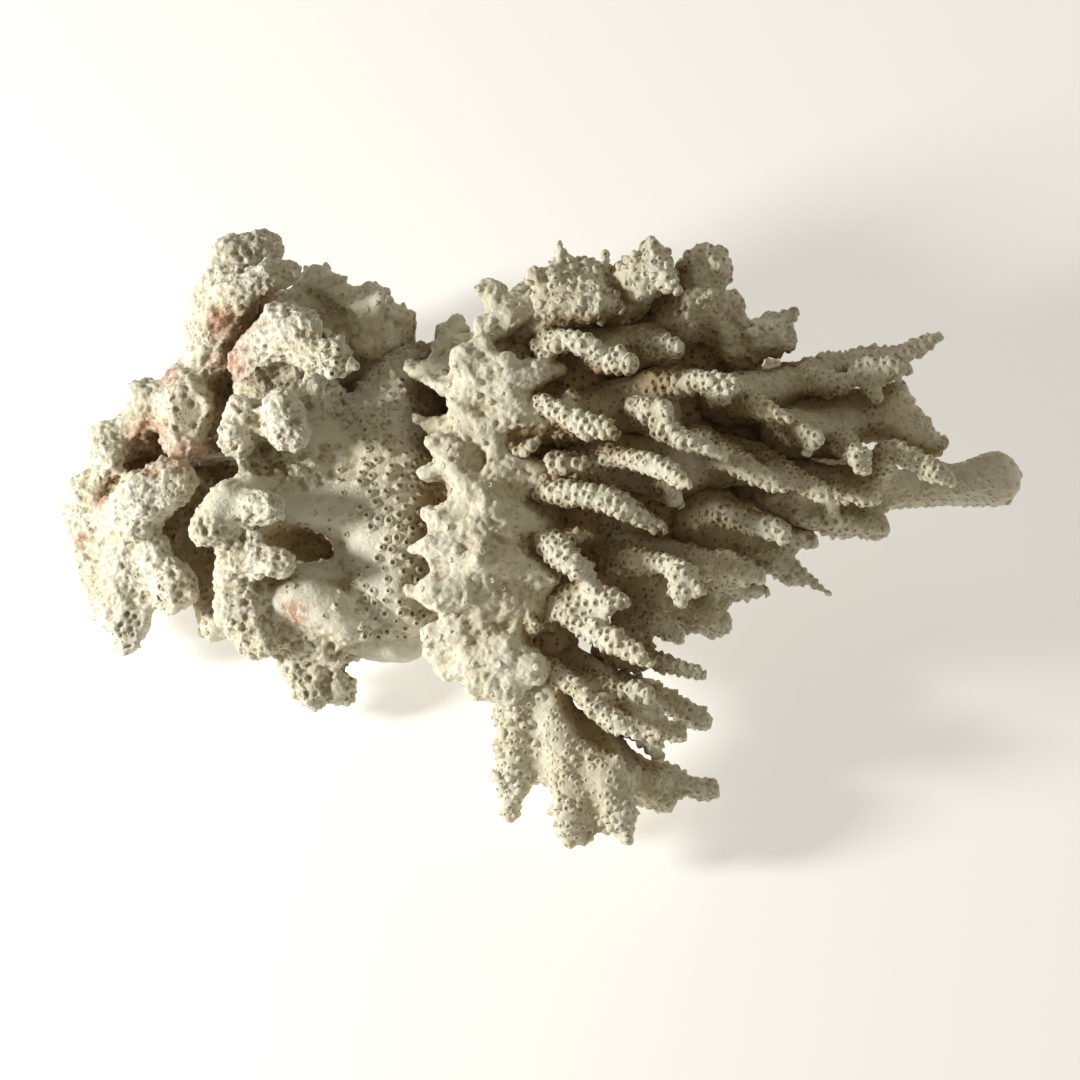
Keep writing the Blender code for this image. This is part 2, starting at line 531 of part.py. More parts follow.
def room_around(thing):
    # A slightly swollen copy, used as the cutter that keeps a neighbour clear
    shape = bmesh.new()
    shape.from_mesh(thing.data)
    moves = []
    for vertex in shape.verts:
        stretch = min(vertex.calc_shell_factor(), FORK_GAP_MOST_STRETCH)
        moves.append((vertex, vertex.normal * stretch * FORK_GAP * MM))
    for vertex, move in moves:
        vertex.co += move
    mesh = bpy.data.meshes.new(thing.name + "_room")
    shape.to_mesh(mesh)
    shape.free()
    room = bpy.data.objects.new(mesh.name, mesh)
    bpy.context.scene.collection.objects.link(room)
    room.hide_render = True
    room.display_type = "WIRE"
    return room


def reach(thing):
    corners = [vertex.co for vertex in thing.data.vertices]
    low = [min(corner[i] for corner in corners) for i in range(3)]
    high = [max(corner[i] for corner in corners) for i in range(3)]
    return low, high


def near(first, second):
    low_a, high_a = reach(first)
    low_b, high_b = reach(second)
    return all(low_a[i] < high_b[i] and low_b[i] < high_a[i] for i in range(3))


def part_from(thing, rooms):
    for room in rooms:
        if not near(thing, room):
            continue
        cut = thing.modifiers.new("Fork", "BOOLEAN")
        cut.operation = "DIFFERENCE"
        cut.solver = "EXACT"
        cut.use_self = True
        cut.object = room
        bake_modifiers(thing)
    keep_largest_shell(thing.data)


def coral_skin(name, tint):
    skin = bpy.data.materials.new(name + "_skeleton")
    skin.use_nodes = True
    shader = skin.node_tree.nodes["Principled BSDF"]
    shader.inputs["Base Color"].default_value = (*tint, 1.0)
    shader.inputs["Roughness"].default_value = CHALKY_ROUGHNESS
    shader.inputs["Metallic"].default_value = 0.0
    skin.diffuse_color = (*tint, 1.0)
    return skin


def dress(thing, tint):
    thing.data.materials.clear()
    thing.data.materials.append(coral_skin(thing.name, tint))
    thing.data.shade_smooth()
    thing.data.set_sharp_from_angle(angle=math.radians(ROUND_EDGE_DEG))


def build_coral():
    colony = bpy.data.objects.new("colony", None)
    bpy.context.scene.collection.objects.link(colony)
    rooms = []
    for name, plan in LIMBS.items():
        thing = model_limb(name, plan)
        if name == "base":
            cut_flat(thing)
        room = room_around(thing)
        part_from(thing, rooms)
        facet(thing, plan["triangles"] * PARTED_LIMB_SHARE)
        rooms.append(room)
        dress(thing, plan["tint"])
        thing.parent = colony
    for room in rooms:
        bpy.data.objects.remove(room)


for leftover in list(bpy.data.objects):
    bpy.data.objects.remove(leftover)
build_coral()
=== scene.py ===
import math
import random

import bmesh
import bpy
import numpy as np
from mathutils import Matrix, Vector, noise as mathNoise
from mathutils.bvhtree import BVHTree


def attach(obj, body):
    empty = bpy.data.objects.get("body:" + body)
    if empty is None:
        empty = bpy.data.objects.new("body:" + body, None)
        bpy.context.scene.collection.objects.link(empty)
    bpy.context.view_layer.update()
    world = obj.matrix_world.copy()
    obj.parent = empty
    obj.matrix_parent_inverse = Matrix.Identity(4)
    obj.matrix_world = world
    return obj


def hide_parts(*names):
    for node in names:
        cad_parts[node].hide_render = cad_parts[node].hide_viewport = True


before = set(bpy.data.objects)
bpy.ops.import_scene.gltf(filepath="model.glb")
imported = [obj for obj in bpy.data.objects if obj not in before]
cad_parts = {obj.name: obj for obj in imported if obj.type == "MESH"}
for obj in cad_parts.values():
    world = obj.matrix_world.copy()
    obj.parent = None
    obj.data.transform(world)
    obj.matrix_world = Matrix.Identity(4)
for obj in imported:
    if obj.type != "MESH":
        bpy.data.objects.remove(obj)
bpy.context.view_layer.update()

mm = 0.001

# The limbs are laid out on a board that leans back 60 degrees, in millimetres:
# (across, up, toward, radius). Its middle is at board["middle"].
board = {"lean": math.radians(60), "middle": (13.0, -28.0, 40.0)}


def boardWay(across, up, toward):
    lean = board["lean"]
    return Vector((
        across,
        up * math.sin(lean) - toward * math.cos(lean),
        up * math.cos(lean) + toward * math.sin(lean),
    ))


def onBoard(across, up, toward):
    return (boardWay(across, up, toward) + Vector(board["middle"])) * mm


limbs = {}

# The underside, cut off flat where the colony was broken from its rock
limbs["base"] = [
    [(-50, 8, -42, 12), (-15, 4, -38, 18), (22, 6, -42, 14)],
    [(-44, 20, -50, 11), (-10, 22, -50, 15), (16, 20, -50, 12)],
    [(-22, -6, -34, 13), (8, -6, -34, 12)],
]

# The smooth stalk between the old lobes on the left and the crown on the right
limbs["stalk"] = [
    [(-34, 39, -34, 11), (-39, 22, -22, 14.5), (-37, 5, -14, 16.5), (-36, -12, -15, 14)],
    [(-36, -12, -15, 14), (-38, -24, -15, 6.8), (-33, -27, -15, 4)],
    [(-43.5, -24, -15, 5.6)],
    [(-37, 5, -14, 16), (-22, 5, -18, 14)],
    [(-50, 14, -14, 9), (-60, 15, -9, 6)],
    [(-46, -10, -15, 8), (-58, -11, -10, 6), (-66, -15, -8, 5.5)],
    [(-47, 22, -18, 8), (-60, 25, -14, 7)],
]

# The heart of the crown, where its branches meet
limbs["crown"] = [
    [(-8, 28, -20, 12), (15, 30, -22, 13), (38, 28, -26, 11), (56, 24, -28, 8)],
    [(-8, 5, -16, 12), (15, 5, -18, 13), (38, 6, -22, 10)],
    [(-8, -16, -10, 9), (2, -28, -6, 6)],
    [(0, 46, -20, 8), (25, 48, -26, 9), (42, 46, -28, 8)],
    [(15, -5, -16, 10), (30, -8, -18, 7)],
    [(-7, 42, -8, 7), (-6, 26, -7, 8), (-5, 8, -5, 8.5), (-4, -10, -3, 8.5), (-1, -25, -2, 7.5)],
    [(8, 42, -12, 7), (10, 24, -9, 7.5), (10, 6, -7, 8), (10, -10, -6, 8)],
]

# Old lobes and arms on the left, worn and chalky
limbs["top_left_lobe"] = [
    [(-82, 41, -28, 5), (-82, 50, -25, 8.8), (-79.5, 60, -21, 9), (-77, 68, -20, 7.2)],
    [(-78.5, 71.5, -19, 5.2), (-68.5, 73.3, -22, 4.4)],
    [(-76, 62, -14, 6), (-69, 66, -11, 4.2), (-63, 67, -14, 3.6)],
    [(-80, 50, -28, 7), (-72, 44, -32, 7)],
]

limbs["top_back_lobes"] = [
    [(-57, 50, -38, 8), (-57, 56, -36, 7), (-56, 64.5, -33, 6)],
    [(-51, 62.5, -27, 4), (-50.5, 66, -26, 2.5)],
    [(-42, 50, -34, 9), (-42, 59.5, -29, 5.8)],
    [(-37, 48, -36, 7), (-35.5, 55, -33, 5.4)],
    [(-40, 61, -24, 3.2)],
    [(-64, 44, -36, 8), (-50, 44, -38, 9), (-36, 42, -38, 8)],
    [(-66, 52, -36, 7), (-66, 59, -32, 5)],
    [(-77, 50, -30, 6), (-69, 58, -29, 5.6), (-64, 56, -32, 6)],
]

limbs["stalk"].append([(-44, 8, -9, 10), (-56, 8.5, -6, 6.4), (-66, 9.5, -4, 4.6)])
limbs["upper_left_arm"] = [
    [(-72, 45, -13, 6.5), (-67, 51, -6, 6.2), (-60, 51, 0, 6.2), (-57, 46, 3, 4.8)],
    [(-66, 55, -5, 4.5), (-58, 55.5, -3, 3.6)],
    [(-57, 46, 4, 4), (-51.5, 45, 7, 4.7)],
    [(-71, 38, -17, 7), (-58, 35, -19, 9)],
    [(-66, 50, -14, 7), (-62, 42, -16, 7)],
]

limbs["middle_left_arm"] = [
    [(-68, 30, -14, 7), (-75, 27, -2, 5.6), (-76, 25, 0, 5)],
    [(-75, 33, -2, 3.8)],
    [(-64.5, 33.5, 6, 5.2), (-63, 27, 6, 5.8)],
    [(-59.5, 37, 4, 2)],
    [(-66, 29, -6, 7)],
]

limbs["broken_lobe"] = [
    [(-88.5, 33.5, -20, 7.8), (-90, 26, -17, 6)],
    [(-91, 41, -24, 3.8)],
    [(-99, 35.5, -27, 5.6), (-100, 29, -27, 5.4), (-107, 27.5, -29, 3.8)],
    [(-88, 21.5, -20, 2.4), (-78, 20.5, -19, 2), (-69.5, 19.5, -18, 1.8)],
    [(-86, 32, -28, 7), (-78, 34, -34, 7), (-68, 36, -36, 7)],
]

limbs["far_left_lobe"] = [
    [(-112.7, 9, -30, 8.2), (-110.5, -3, -29, 7.8), (-109.5, -11.5, -26, 6)],
    [(-108.5, 20.5, -23, 5.2), (-110.5, 27, -27, 3.4)],
    [(-108, 14, -31, 7), (-98, 20, -33, 6), (-90, 22, -33, 6)],
]

limbs["centre_left_lobe"] = [
    [(-107, 6, -18, 5), (-99.5, 10.5, -10, 7.3), (-92.5, 14, -9, 6.6)],
    [(-102, 3, -12, 4.6)],
    [(-99, 10, -20, 7)],
]

limbs["lower_left_lobe"] = [
    [(-103, 0, -20, 6.5), (-104, -9, -20, 6.5), (-104, -19, -19, 7), (-104, -25.3, -17, 3.9)],
    [(-98, -6, -18, 6), (-91.8, -12.2, -13, 6.6)],
    [(-108.5, -17, -22, 5)],
    [(-97, -3, -15, 5)],
]

limbs["left_back_arm"] = [
    [(-86, 12, -33, 7), (-84, 0, -30, 7), (-83, -11, -26, 6.6), (-81, -20.5, -23, 6)],
    [(-98, -2, -30, 7), (-84, 2, -31, 7), (-66, 6, -33, 8), (-52, 6, -34, 8)],
    [(-78, 16, -34, 7), (-60, 20, -36, 8)],
    [(-70, 0, -31, 6.4), (-58, -3, -32, 6.6)],
]

limbs["central_arm"] = [
    [(-58, 15, -8, 6), (-66, 14.5, -4, 4.4), (-73, 13.5, 0, 4.2), (-78.5, 10.5, 4, 4.8),
     (-83, 2.8, 5, 5.3)],
    [(-76, 8, 5, 4.6), (-67.5, 7.6, 9, 4.4)],
    [(-78, -1, 4, 3.4)],
]

limbs["lower_arm"] = [
    [(-77, -6, 0, 5), (-69, -5, 4, 4.6), (-64.3, -6, 6, 4.2)],
    [(-76, -8, -4, 6), (-75, -17, -6, 7), (-71, -24, -7, 6.6)],
    [(-66, -14, -10, 6)],
    [(-69, -26, -4, 4.4)],
]

limbs["lower_middle_arm"] = [
    [(-60, -15, -5, 6), (-52, -18.5, -4, 6), (-47.5, -21.5, -5, 4.8)],
    [(-63, -26, -9, 4), (-51.5, -29.3, -9, 3.6)],
    [(-62, -31.5, -13, 4.6), (-57.5, -38, -12, 4.4)],
    [(-55, -34, -14, 4.6), (-50, -37.5, -14, 4.7)],
    [(-56, -24, -12, 6)],
]

# The overhanging rim of the crown, worn to knobs and petals
limbs["rim_top"] = [
    [(-22, 50.5, -29, 5.2), (-21.3, 54, -30, 3.4)],
    [(-23.5, 49, -20, 4), (-23.5, 45, -16, 3)],
    [(-32.5, 43.5, -14, 2.4), (-28, 42, -14, 3.6), (-22, 41, -13, 4)],
    [(-28, 40, -2, 2.3), (-23, 38, -1, 3.2), (-15, 37, 2, 3.6)],
    [(-18.5, 45.5, 3, 5), (-14.5, 48, 3, 3.8)],
    [(-16.5, 41.5, 4, 3.8), (-8.5, 44, 5, 3.8)],
    [(-13, 53, -2, 4.4), (-8, 55.5, -3, 4.8), (-3, 57, -6, 5)],
    [(-12.8, 62, -6, 3.4), (-9.5, 59, -6, 4)],
    [(-20, 44, -14, 8), (-10, 47, -12, 8)],
    [(-15, 37, 2, 3.8), (-8, 38.5, 4, 4.6), (-1, 42, 3, 4.2), (4.5, 42.5, 1, 3)],
    [(-14, 40, -2, 7), (-6, 40, -4, 7)],
]

limbs["rim_middle"] = [
    [(-30, 30, -3, 2.2), (-26, 28.5, -4, 3.4), (-18, 28, -4, 6)],
    [(-20, 33.5, 2, 3.2), (-17, 28.5, 4, 3.8), (-13, 25, 6, 3.4), (-11, 21.5, 8, 2.4)],
    [(-26.5, 24.5, 6, 2.7), (-20, 23, 6, 3.6)],
    [(-29.3, 16.6, 6, 2.1), (-24, 17, 5, 3.2)],
    [(-22, 19.5, 8, 3.2), (-19.5, 15, 9, 3.4), (-15, 12.5, 12, 2.8)],
    [(-21.5, 9.5, 9, 2.4), (-16.5, 8.5, 12, 2.8), (-12.8, 8.5, 13, 3.6)],
    [(-28, 6.5, 7, 2.7), (-24.5, 4.5, 9, 4.4), (-21.5, 1, 12, 4.8)],
    [(-14, 33, 0, 5), (-18, 20, -2, 7), (-16, 8, 2, 7)],
    [(-13, 27, 5, 3.8), (-6, 31, 4, 5), (1, 29, 3, 4.4)],
    [(-14, 14, 9, 3.6), (-8, 18, 7, 4.6), (-1, 16, 6, 4.6), (5, 12.5, 5, 3.8)],
    [(-13, 8.5, 11, 4), (-7, 5, 8, 5), (0, 3, 6, 4.6)],
    [(-9, 24, 0, 7), (-8, 10, 1, 8)],
]

limbs["rim_bottom"] = [
    [(-32, -2.5, 10, 1.7), (-26.5, -1.5, 12, 4.4), (-20.5, -3, 13, 4.6)],
    [(-15, -4.8, 17, 3.9), (-10, -5, 14, 4.4)],
    [(-21.5, 1, 12, 4.8), (-15.5, 1.5, 13, 4.8), (-10, 2, 11.5, 4.8)],
    [(-32, -13, 12, 2.4), (-26, -13.2, 13, 4.8), (-19, -13.5, 13, 4.9), (-12, -13, 10, 5.6)],
    [(-27.5, -23.3, 8, 3.1), (-21, -23.2, 9, 4.2), (-14, -22, 9, 4.2)],
    [(-23.3, -32.8, 4, 2.9), (-19, -31.5, 5, 4)],
    [(-25.5, -28, 4, 3.6)],
    [(-16, -29.5, 7, 6.5), (-8, -29, 10, 6.2), (-2, -32, 10, 5.4)],
    [(-15, -36.2, 7, 4.6), (-8, -37, 8, 5)],
    [(-14, -6, 2, 8), (-12, -20, 3, 8)],
    [(-10, -5, 13, 4.4), (-5, -7, 10, 5), (1, -9, 8, 4.6)],
    [(-12, -13, 10, 5.6), (-5, -17, 8, 5.4), (1, -19.5, 6, 4.4)],
    [(-7, -4, 2, 8), (-6, -18, 2, 8)],
]

# Finger branches along the top of the crown
limbs["top_branch_left"] = [
    [(-5, 52, -10, 7), (3, 58, -6, 7), (13, 59.5, -4, 6.4), (18.5, 59, -3, 4.2)],
    [(-2, 66.3, -3, 2.9), (3, 65, -4, 4)],
    [(5.2, 73.8, -6, 2.6), (5.6, 68, -6, 4)],
    [(4, 66, -6, 4.6), (10.5, 67.5, -7, 4.4), (14.5, 66.5, -8, 4.6)],
    [(16.6, 72, -16, 1.7), (16.6, 66, -14, 3.2)],
]

limbs["top_branch_middle"] = [
    [(18, 58, -14, 8), (26, 66.5, -5, 6.6), (30, 69, -3, 5.2)],
    [(27.2, 74.2, -5, 3.3), (29, 70, -3, 5)],
    [(31, 66, 0, 5), (34.2, 62.5, 2, 3)],
    [(22.5, 69, -9, 3.6)],
]

limbs["top_branch_right"] = [
    [(34, 56, -18, 9), (42, 67.8, -9, 6.9)],
    [(44.3, 68.5, -3, 3.4)],
    [(42, 58, -18, 7.5), (48.5, 59.5, -17, 4.4)],
    [(48, 50, -20, 7), (58, 50.5, -19, 5.6), (62, 50, -18, 4)],
    [(57, 55.5, -23, 3.4), (62, 55, -23, 3), (65.4, 58.2, -24, 1.7)],
    [(53, 52, -12, 3)],
    [(50, 44, -22, 5.4), (54, 42.5, -24, 3.6)],
]

# Fingers that reach forward from the heart of the crown
limbs["upper_front_branch"] = [
    [(1, 49, -9, 6), (14, 47, -10, 7), (27, 48, -11, 7)],
    [(-1, 50, -8, 5), (5, 50, 3, 3.6), (9.5, 50, 6, 4.2), (12.8, 48.8, 7, 3.8)],
    [(12, 46, -4, 5), (18, 45, 5, 4.2), (21.8, 44, 8, 4)],
    [(26, 48, -6, 5.4), (33.5, 48, 3, 4)],
    [(-2.5, 49.3, 1, 2), (1, 46, 3, 2.4), (2.6, 43.2, 3, 1.7)],
]

limbs["front_branch_high"] = [
    [(-6, 30, -6, 7), (10, 31, -7, 8), (24, 34, -9, 8), (30, 30, -9, 7)],
    [(-5, 36, 0, 3), (1, 33.5, 5, 4), (8, 30, 11, 4), (15, 28, 14, 3.8), (18.5, 26, 15, 2.8)],
    [(8, 35.5, 3, 3.4)],
    [(-9.5, 31.5, 6, 2), (-5.5, 30, 8, 2.4)],
    [(-10, 25.2, 6, 2), (-5.5, 21.6, 8, 2.4), (-0.5, 24.6, 9, 2.4)],
    [(-5, 27, -2, 6), (8, 28, 2, 5)],
    [(28, 38, -7, 6), (36, 39.5, 3, 3.8), (43, 39.4, 7, 4), (48.6, 38.6, 10, 3.6)],
    [(43, 35, 4, 2.6), (48, 34.2, 6, 2.1)],
    [(24, 33, 4, 4.6), (26, 32.5, 12, 3.6), (31, 32.6, 16, 3.4)],
    [(26, 30, 6, 4), (31.5, 26.8, 14, 4.1), (39, 24, 16, 3.5), (46, 20.8, 15, 2.7)],
]

limbs["front_branch_middle"] = [
    [(4, 18, -6, 7), (18, 20, -6, 7.5), (34, 18, -9, 8), (46, 20, -12, 7), (56, 19, -13, 6)],
    [(15, 21, 0, 4.6), (20, 20.5, 13, 3.6), (27, 19.3, 19, 4), (33, 16.6, 23, 3.8),
     (36.9, 14.2, 25, 2.6)],
    [(3, 19, -1, 5), (4, 19, 8, 4), (10, 18, 8, 4.2), (15.3, 16.8, 6, 2.8)],
    [(2.2, 14, 8, 2.8)],
    [(29, 14, 0, 4), (32.5, 12, 9, 3.6), (35, 9, 9, 3)],
    [(40, 24, -8, 6), (48, 20, 4, 4.2), (56, 16, 9, 3.7), (60.2, 13.3, 11, 3.1)],
    [(54, 20, -6, 5), (62, 17, 4, 3.8), (68.5, 13, 9, 3.4), (72, 11, 11, 2.7)],
]

# Branches that sweep to the right
limbs["right_spray"] = [
    [(46, 35, -15, 7), (57, 36, -18, 7), (64, 40, -20, 5.6)],
    [(56, 32, -20, 6), (64, 41, -20, 5), (72, 43, -19, 4.8), (81, 44.5, -18, 4.3),
     (91, 46.5, -19, 4.2), (96.5, 49.3, -20, 3.5), (99.8, 50.8, -20, 2.9)],
    [(68.5, 44.8, -20, 2.8)],
    [(80.3, 46.5, -20, 2.4)],
    [(81, 43, -10, 3.7), (88.5, 43, -6, 3.5), (91.8, 42.7, -6, 3.1)],
    [(82, 40, -10, 3.4), (84, 35.8, -6, 3)],
    [(60, 39.5, -17, 4.4), (70, 39.4, -13, 4), (76.3, 39, -9, 3.4)],
    [(45, 36, -12, 6), (52, 34.2, 0, 4.2), (58.5, 31.6, 7, 3.5), (62, 30.6, 9, 2.7)],
]

limbs["right_plate"] = [
    [(62, 27, -14, 7), (74, 26, -15, 6.4)],
    [(58, 30, -22, 7), (66, 32, -19, 5.4), (76, 31, -19, 7), (86, 31.5, -20, 7),
     (92, 28, -20, 6.4), (98.5, 23.6, -20, 4.4)],
    [(89, 36, -19, 5.4)],
    [(102.8, 24.8, -20, 2.2)],
    [(62, 27, -8, 5), (64.5, 26.8, 4, 3.7), (69, 25.4, 9, 3.2)],
    [(66.5, 21.2, 9, 2.2)],
    [(74, 25, -12, 5), (77.5, 23, 2, 3.6), (80, 20, 12, 3.9), (81, 17.6, 13, 2.8)],
    [(76.5, 26, -4, 3)],
]

limbs["right_arm"] = [
    [(60, 13, -15, 7.6), (72, 12, -12, 6.6), (84, 15, -12, 6)],
    [(56, 16, -20, 9), (70, 13.5, -15, 6.4), (85, 12.6, -14, 5.8), (100, 13.6, -14, 5.8),
     (108, 14.3, -14, 6.2), (114, 15.5, -14, 7.2)],
    [(84, 19, -9, 5), (88, 22.4, 1, 3.8), (93, 20.5, 7, 3.7), (99, 16.7, 10, 4.2),
     (102.6, 15, 9, 2.8)],
    [(64, 14, -8, 5), (74, 12.8, -1, 4.2), (83.5, 10.6, 3, 3.5)],
    [(66, 8, -12, 6), (78, 4.4, -9, 4.8), (85, 3.2, -8, 4.3)],
    [(73, 4.4, -3, 3.8)],
]

limbs["lower_right_branch"] = [
    [(40, 4, -12, 8), (50, 2, -13, 6)],
    [(40, 9, -12, 6), (46, 7.4, -3, 4.8), (54, 4.2, 1, 4.3), (60.6, 1.2, 3, 3.8)],
    [(50, 4, -14, 5), (60, 2, -12, 3.8), (68.3, -0.3, -12, 3.1)],
    [(38, 0, -16, 7), (48, -0.5, -13, 5.4), (58, -5, -13, 4.6), (66, -9.2, -13, 3.2),
     (72.8, -13.8, -12, 1.9)],
]

# Fingers that reach forward and down from the middle of the crown
limbs["front_branch_low"] = [
    [(18, -4, -7, 8), (30, -8, -9, 8), (40, -8, -11, 6)],
    [(18, -8, -6, 7), (26, -18, -8, 7), (22, -24, -6, 5)],
    [(14, -4, -3, 5.4), (23, -5, 8, 5), (31, -6, 13, 3.8), (36, -8.8, 17, 4.6), (39.6, -12.6, 18, 2.9)],
    [(34, -13, 16, 3.4), (35.4, -16.4, 18, 2.2)],
    [(32, -5, -6, 6), (42, -6, 2, 4.8), (50, -7.2, 3, 4.2), (54.6, -9, 3, 3.4)],
    [(44, -10, -5, 4.4), (49.8, -10.8, 0, 2.6)],
    [(38, -9, -12, 5), (46, -10.4, -8, 4.2), (54, -12.2, -9, 3.2), (57, -13, -9, 2.2)],
    [(24, -15, -4, 6), (29, -21, 4, 3.9), (34.5, -24, 6, 3.4)],
    [(26, -14, -9, 6), (37, -18.5, -8, 5), (45.3, -21, -9, 4.5)],
    [(16, -28, -6, 5), (24, -30, -6, 4.6)],
    [(20, -24, -4, 5), (28, -29.8, -3, 3.8), (35, -32, -2, 3.2), (40.4, -33.7, -2, 2.9)],
]

limbs["centre_branch"] = [
    [(0, 8, -5, 8), (2, -4, -3, 8), (4, -15, -2, 7)],
    [(-2, 12, 0, 5), (3, 12, 9, 4.4), (10, 11.4, 13, 4.4), (18, 9.4, 15, 4.6), (24, 6, 13, 3.8),
     (31, 3, 11, 2.8)],
    [(-1, 2, 0, 6), (4, -2.6, 14, 4.2), (8, -5.8, 17, 4.2), (12, -9, 14, 3.2)],
    [(6, 0.6, 10, 3), (12, 1.6, 10, 3)],
    [(3, -12, 0, 6), (10, -13, 8, 4.4), (15, -14, 13, 4.2), (19.8, -15, 15, 3.9)],
    [(0, -16, 2, 5), (6, -18, 10, 4), (12.5, -22.2, 15, 4.1), (19, -26, 19, 4.1), (25, -29, 22, 3.4),
     (27.6, -31, 22, 2.4)],
    [(-4.6, -16.4, 11, 2.1), (-2, -20, 12, 2.4), (0.2, -22.6, 12, 1.8)],
]

# Fingers that hang towards the front
limbs["bottom_right_branch"] = [
    [(6, -31, -3, 6), (14, -36, -4, 6.4), (20, -42, -3, 6)],
    [(2, -33, 6, 5), (9, -37, 12, 3.2), (14.3, -42, 17, 3.6), (20, -46, 21, 3.5), (23.8, -48.6, 22, 2.5)],
    [(9, -33, 0, 5), (14, -36, 7, 4), (20.5, -38, 11, 3.7), (26.4, -38, 14, 3.6)],
    [(20, -42, 6, 3.8), (24.5, -42.4, 11, 3.5), (29.6, -43, 12, 2.3)],
    [(22, -45, 6, 3.6), (31, -47.4, 10, 3.7), (35.6, -49, 10, 3)],
    [(34.5, -46.4, 9, 3)],
    [(20, -46, 1, 4), (26, -48, 4, 3.9), (29.4, -54, 5, 3.2)],
    [(16, -35, -7, 5), (26, -38, -10, 4.4), (33.5, -41.5, -11, 4), (40.5, -45.4, -10, 4.3)],
    [(32, -39, -12, 3.2)],
]

limbs["bottom_branch"] = [
    [(-3, -36, 4, 6), (-6, -43, 6, 4.6), (-6.2, -53, 7, 4.5), (-7, -62, 8, 4.2), (-7.5, -67.8, 9, 3.2)],
    [(-10.5, -42.5, 5, 2.2), (-12.2, -45.2, 5, 1.4)],
    [(-8, -52.3, 7, 3), (-11.4, -52.4, 7, 1.9)],
    [(-8, -58.7, 8, 3), (-11, -58.8, 8, 1.9)],
    [(2, -36, 4, 6.4), (3, -43, 6, 5.6), (6.3, -53, 9, 6.2), (8, -63, 12, 5.6), (7.4, -70, 13, 5)],
    [(7.8, -74.6, 13, 2.6), (11.4, -74.2, 13, 2.4)],
    [(12, -54, 10, 5), (17.5, -61.5, 13, 6.4), (19.8, -68, 14, 5), (21.8, -74.4, 14, 2.5)],
    [(18.6, -57, 14, 3.6), (19.8, -53.8, 15, 2)],
    [(12, -48, 2, 6), (20, -56, 1, 5.6), (27, -62, 1, 5.4), (30.8, -65.2, 1, 3.6)],
    [(26, -57.6, -2, 3.8), (36, -60.4, -2, 3.1), (42.3, -62.6, -2, 3.2)],
]

# Lobes and fingers on the far side, which the front hides
limbs["back_left_lobe"] = [
    [(-46, 28, -42, 11), (-58, 36, -50, 8), (-68, 44, -54, 6), (-76, 52, -52, 5)],
    [(-58, 36, -50, 8), (-64, 28, -52, 6), (-76, 24, -49, 6), (-88, 22, -45, 5)],
    [(-56, 40, -50, 6), (-56, 52, -56, 5), (-58, 60, -58, 3.8)],
]

limbs["back_middle_branch"] = [
    [(-14, 34, -38, 11), (-18, 44, -48, 6.5), (-22, 50, -58, 4.6), (-24, 53, -66, 3.4)],
    [(-18, 40, -46, 7), (-34, 46, -54, 5), (-42, 52, -60, 4), (-46, 56, -64, 3)],
    [(-12, 42, -42, 7), (-8, 52, -50, 5), (-4, 58, -56, 4), (-2, 62, -60, 3)],
    [(-10, 34, -46, 7), (-10, 40, -57, 4.6), (-12, 44, -64, 3.4)],
    [(-8, 46, -34, 7), (-6, 58, -36, 5), (-3, 64, -38, 3.4)],
]

limbs["back_right_branch"] = [
    [(22, 34, -38, 11), (24, 46, -48, 6.5), (26, 54, -58, 4.6), (27, 58, -64, 3.4)],
    [(26, 42, -44, 7), (38, 50, -50, 5), (44, 56, -54, 4), (47, 60, -56, 3)],
    [(20, 44, -42, 7), (14, 56, -46, 5), (12, 63, -48, 4), (12, 67, -48, 3)],
    [(22, 32, -46, 7), (14, 40, -57, 4.8), (12, 46, -65, 3.6)],
    [(28, 34, -44, 7), (40, 36, -54, 4.8), (46, 40, -60, 3.6)],
    [(30, 52, -34, 7), (34, 62, -36, 5), (36, 67, -36, 3.6)],
]

limbs["back_far_right_branch"] = [
    [(52, 22, -36, 8), (62, 28, -42, 5.5), (70, 32, -46, 4.2), (76, 35, -48, 3.2)],
    [(56, 20, -36, 7), (66, 18, -40, 5), (78, 18, -40, 4.2), (88, 18, -38, 3.2)],
    [(50, 28, -40, 7), (56, 38, -46, 4.8), (60, 43, -50, 3.6)],
    [(58, 32, -34, 6), (68, 37, -36, 4.4), (78, 40, -36, 3.4)],
    [(48, 12, -34, 7), (58, 6, -34, 4.8), (66, 4, -32, 3.4)],
]



def deselectAll():
    if bpy.context.object and bpy.context.object.mode != "OBJECT":
        bpy.ops.object.mode_set(mode="OBJECT")
    bpy.ops.object.select_all(action="DESELECT")


def pick(thing):
    deselectAll()
    thing.select_set(True)
    bpy.context.view_layer.objects.active = thing


def finishWith(thing, kind, **settings):
    # adds one modifier and applies it
    pick(thing)
    step = thing.modifiers.new(kind.lower(), kind)
    for name, value in settings.items():
        setattr(step, name, value)
    bpy.ops.object.modifier_apply(modifier=step.name)


# How a limb's lumps and necks become one skin
skinning = {
    "lumpSteps": 3, "neckSides": 16, "neckShare": 1.3, "leastShare": 0.7, "thickFrom": 6.6, "thinUpTo": 5.0,
    "soften": 0.5, "softenRounds": 3, "draft": 1.4, "thread": 0.45,
}


def slimmed(radius, thin):
    # a finger is modelled thinner, which leaves room for its cups; a thick body isn't
    share = (skinning["thickFrom"] - radius) / (skinning["thickFrom"] - skinning["thinUpTo"])
    share = min(max(share, 0.0), 1.0) if thin > 0 else 1.0
    return max(radius - thin * share, radius * skinning["leastShare"])


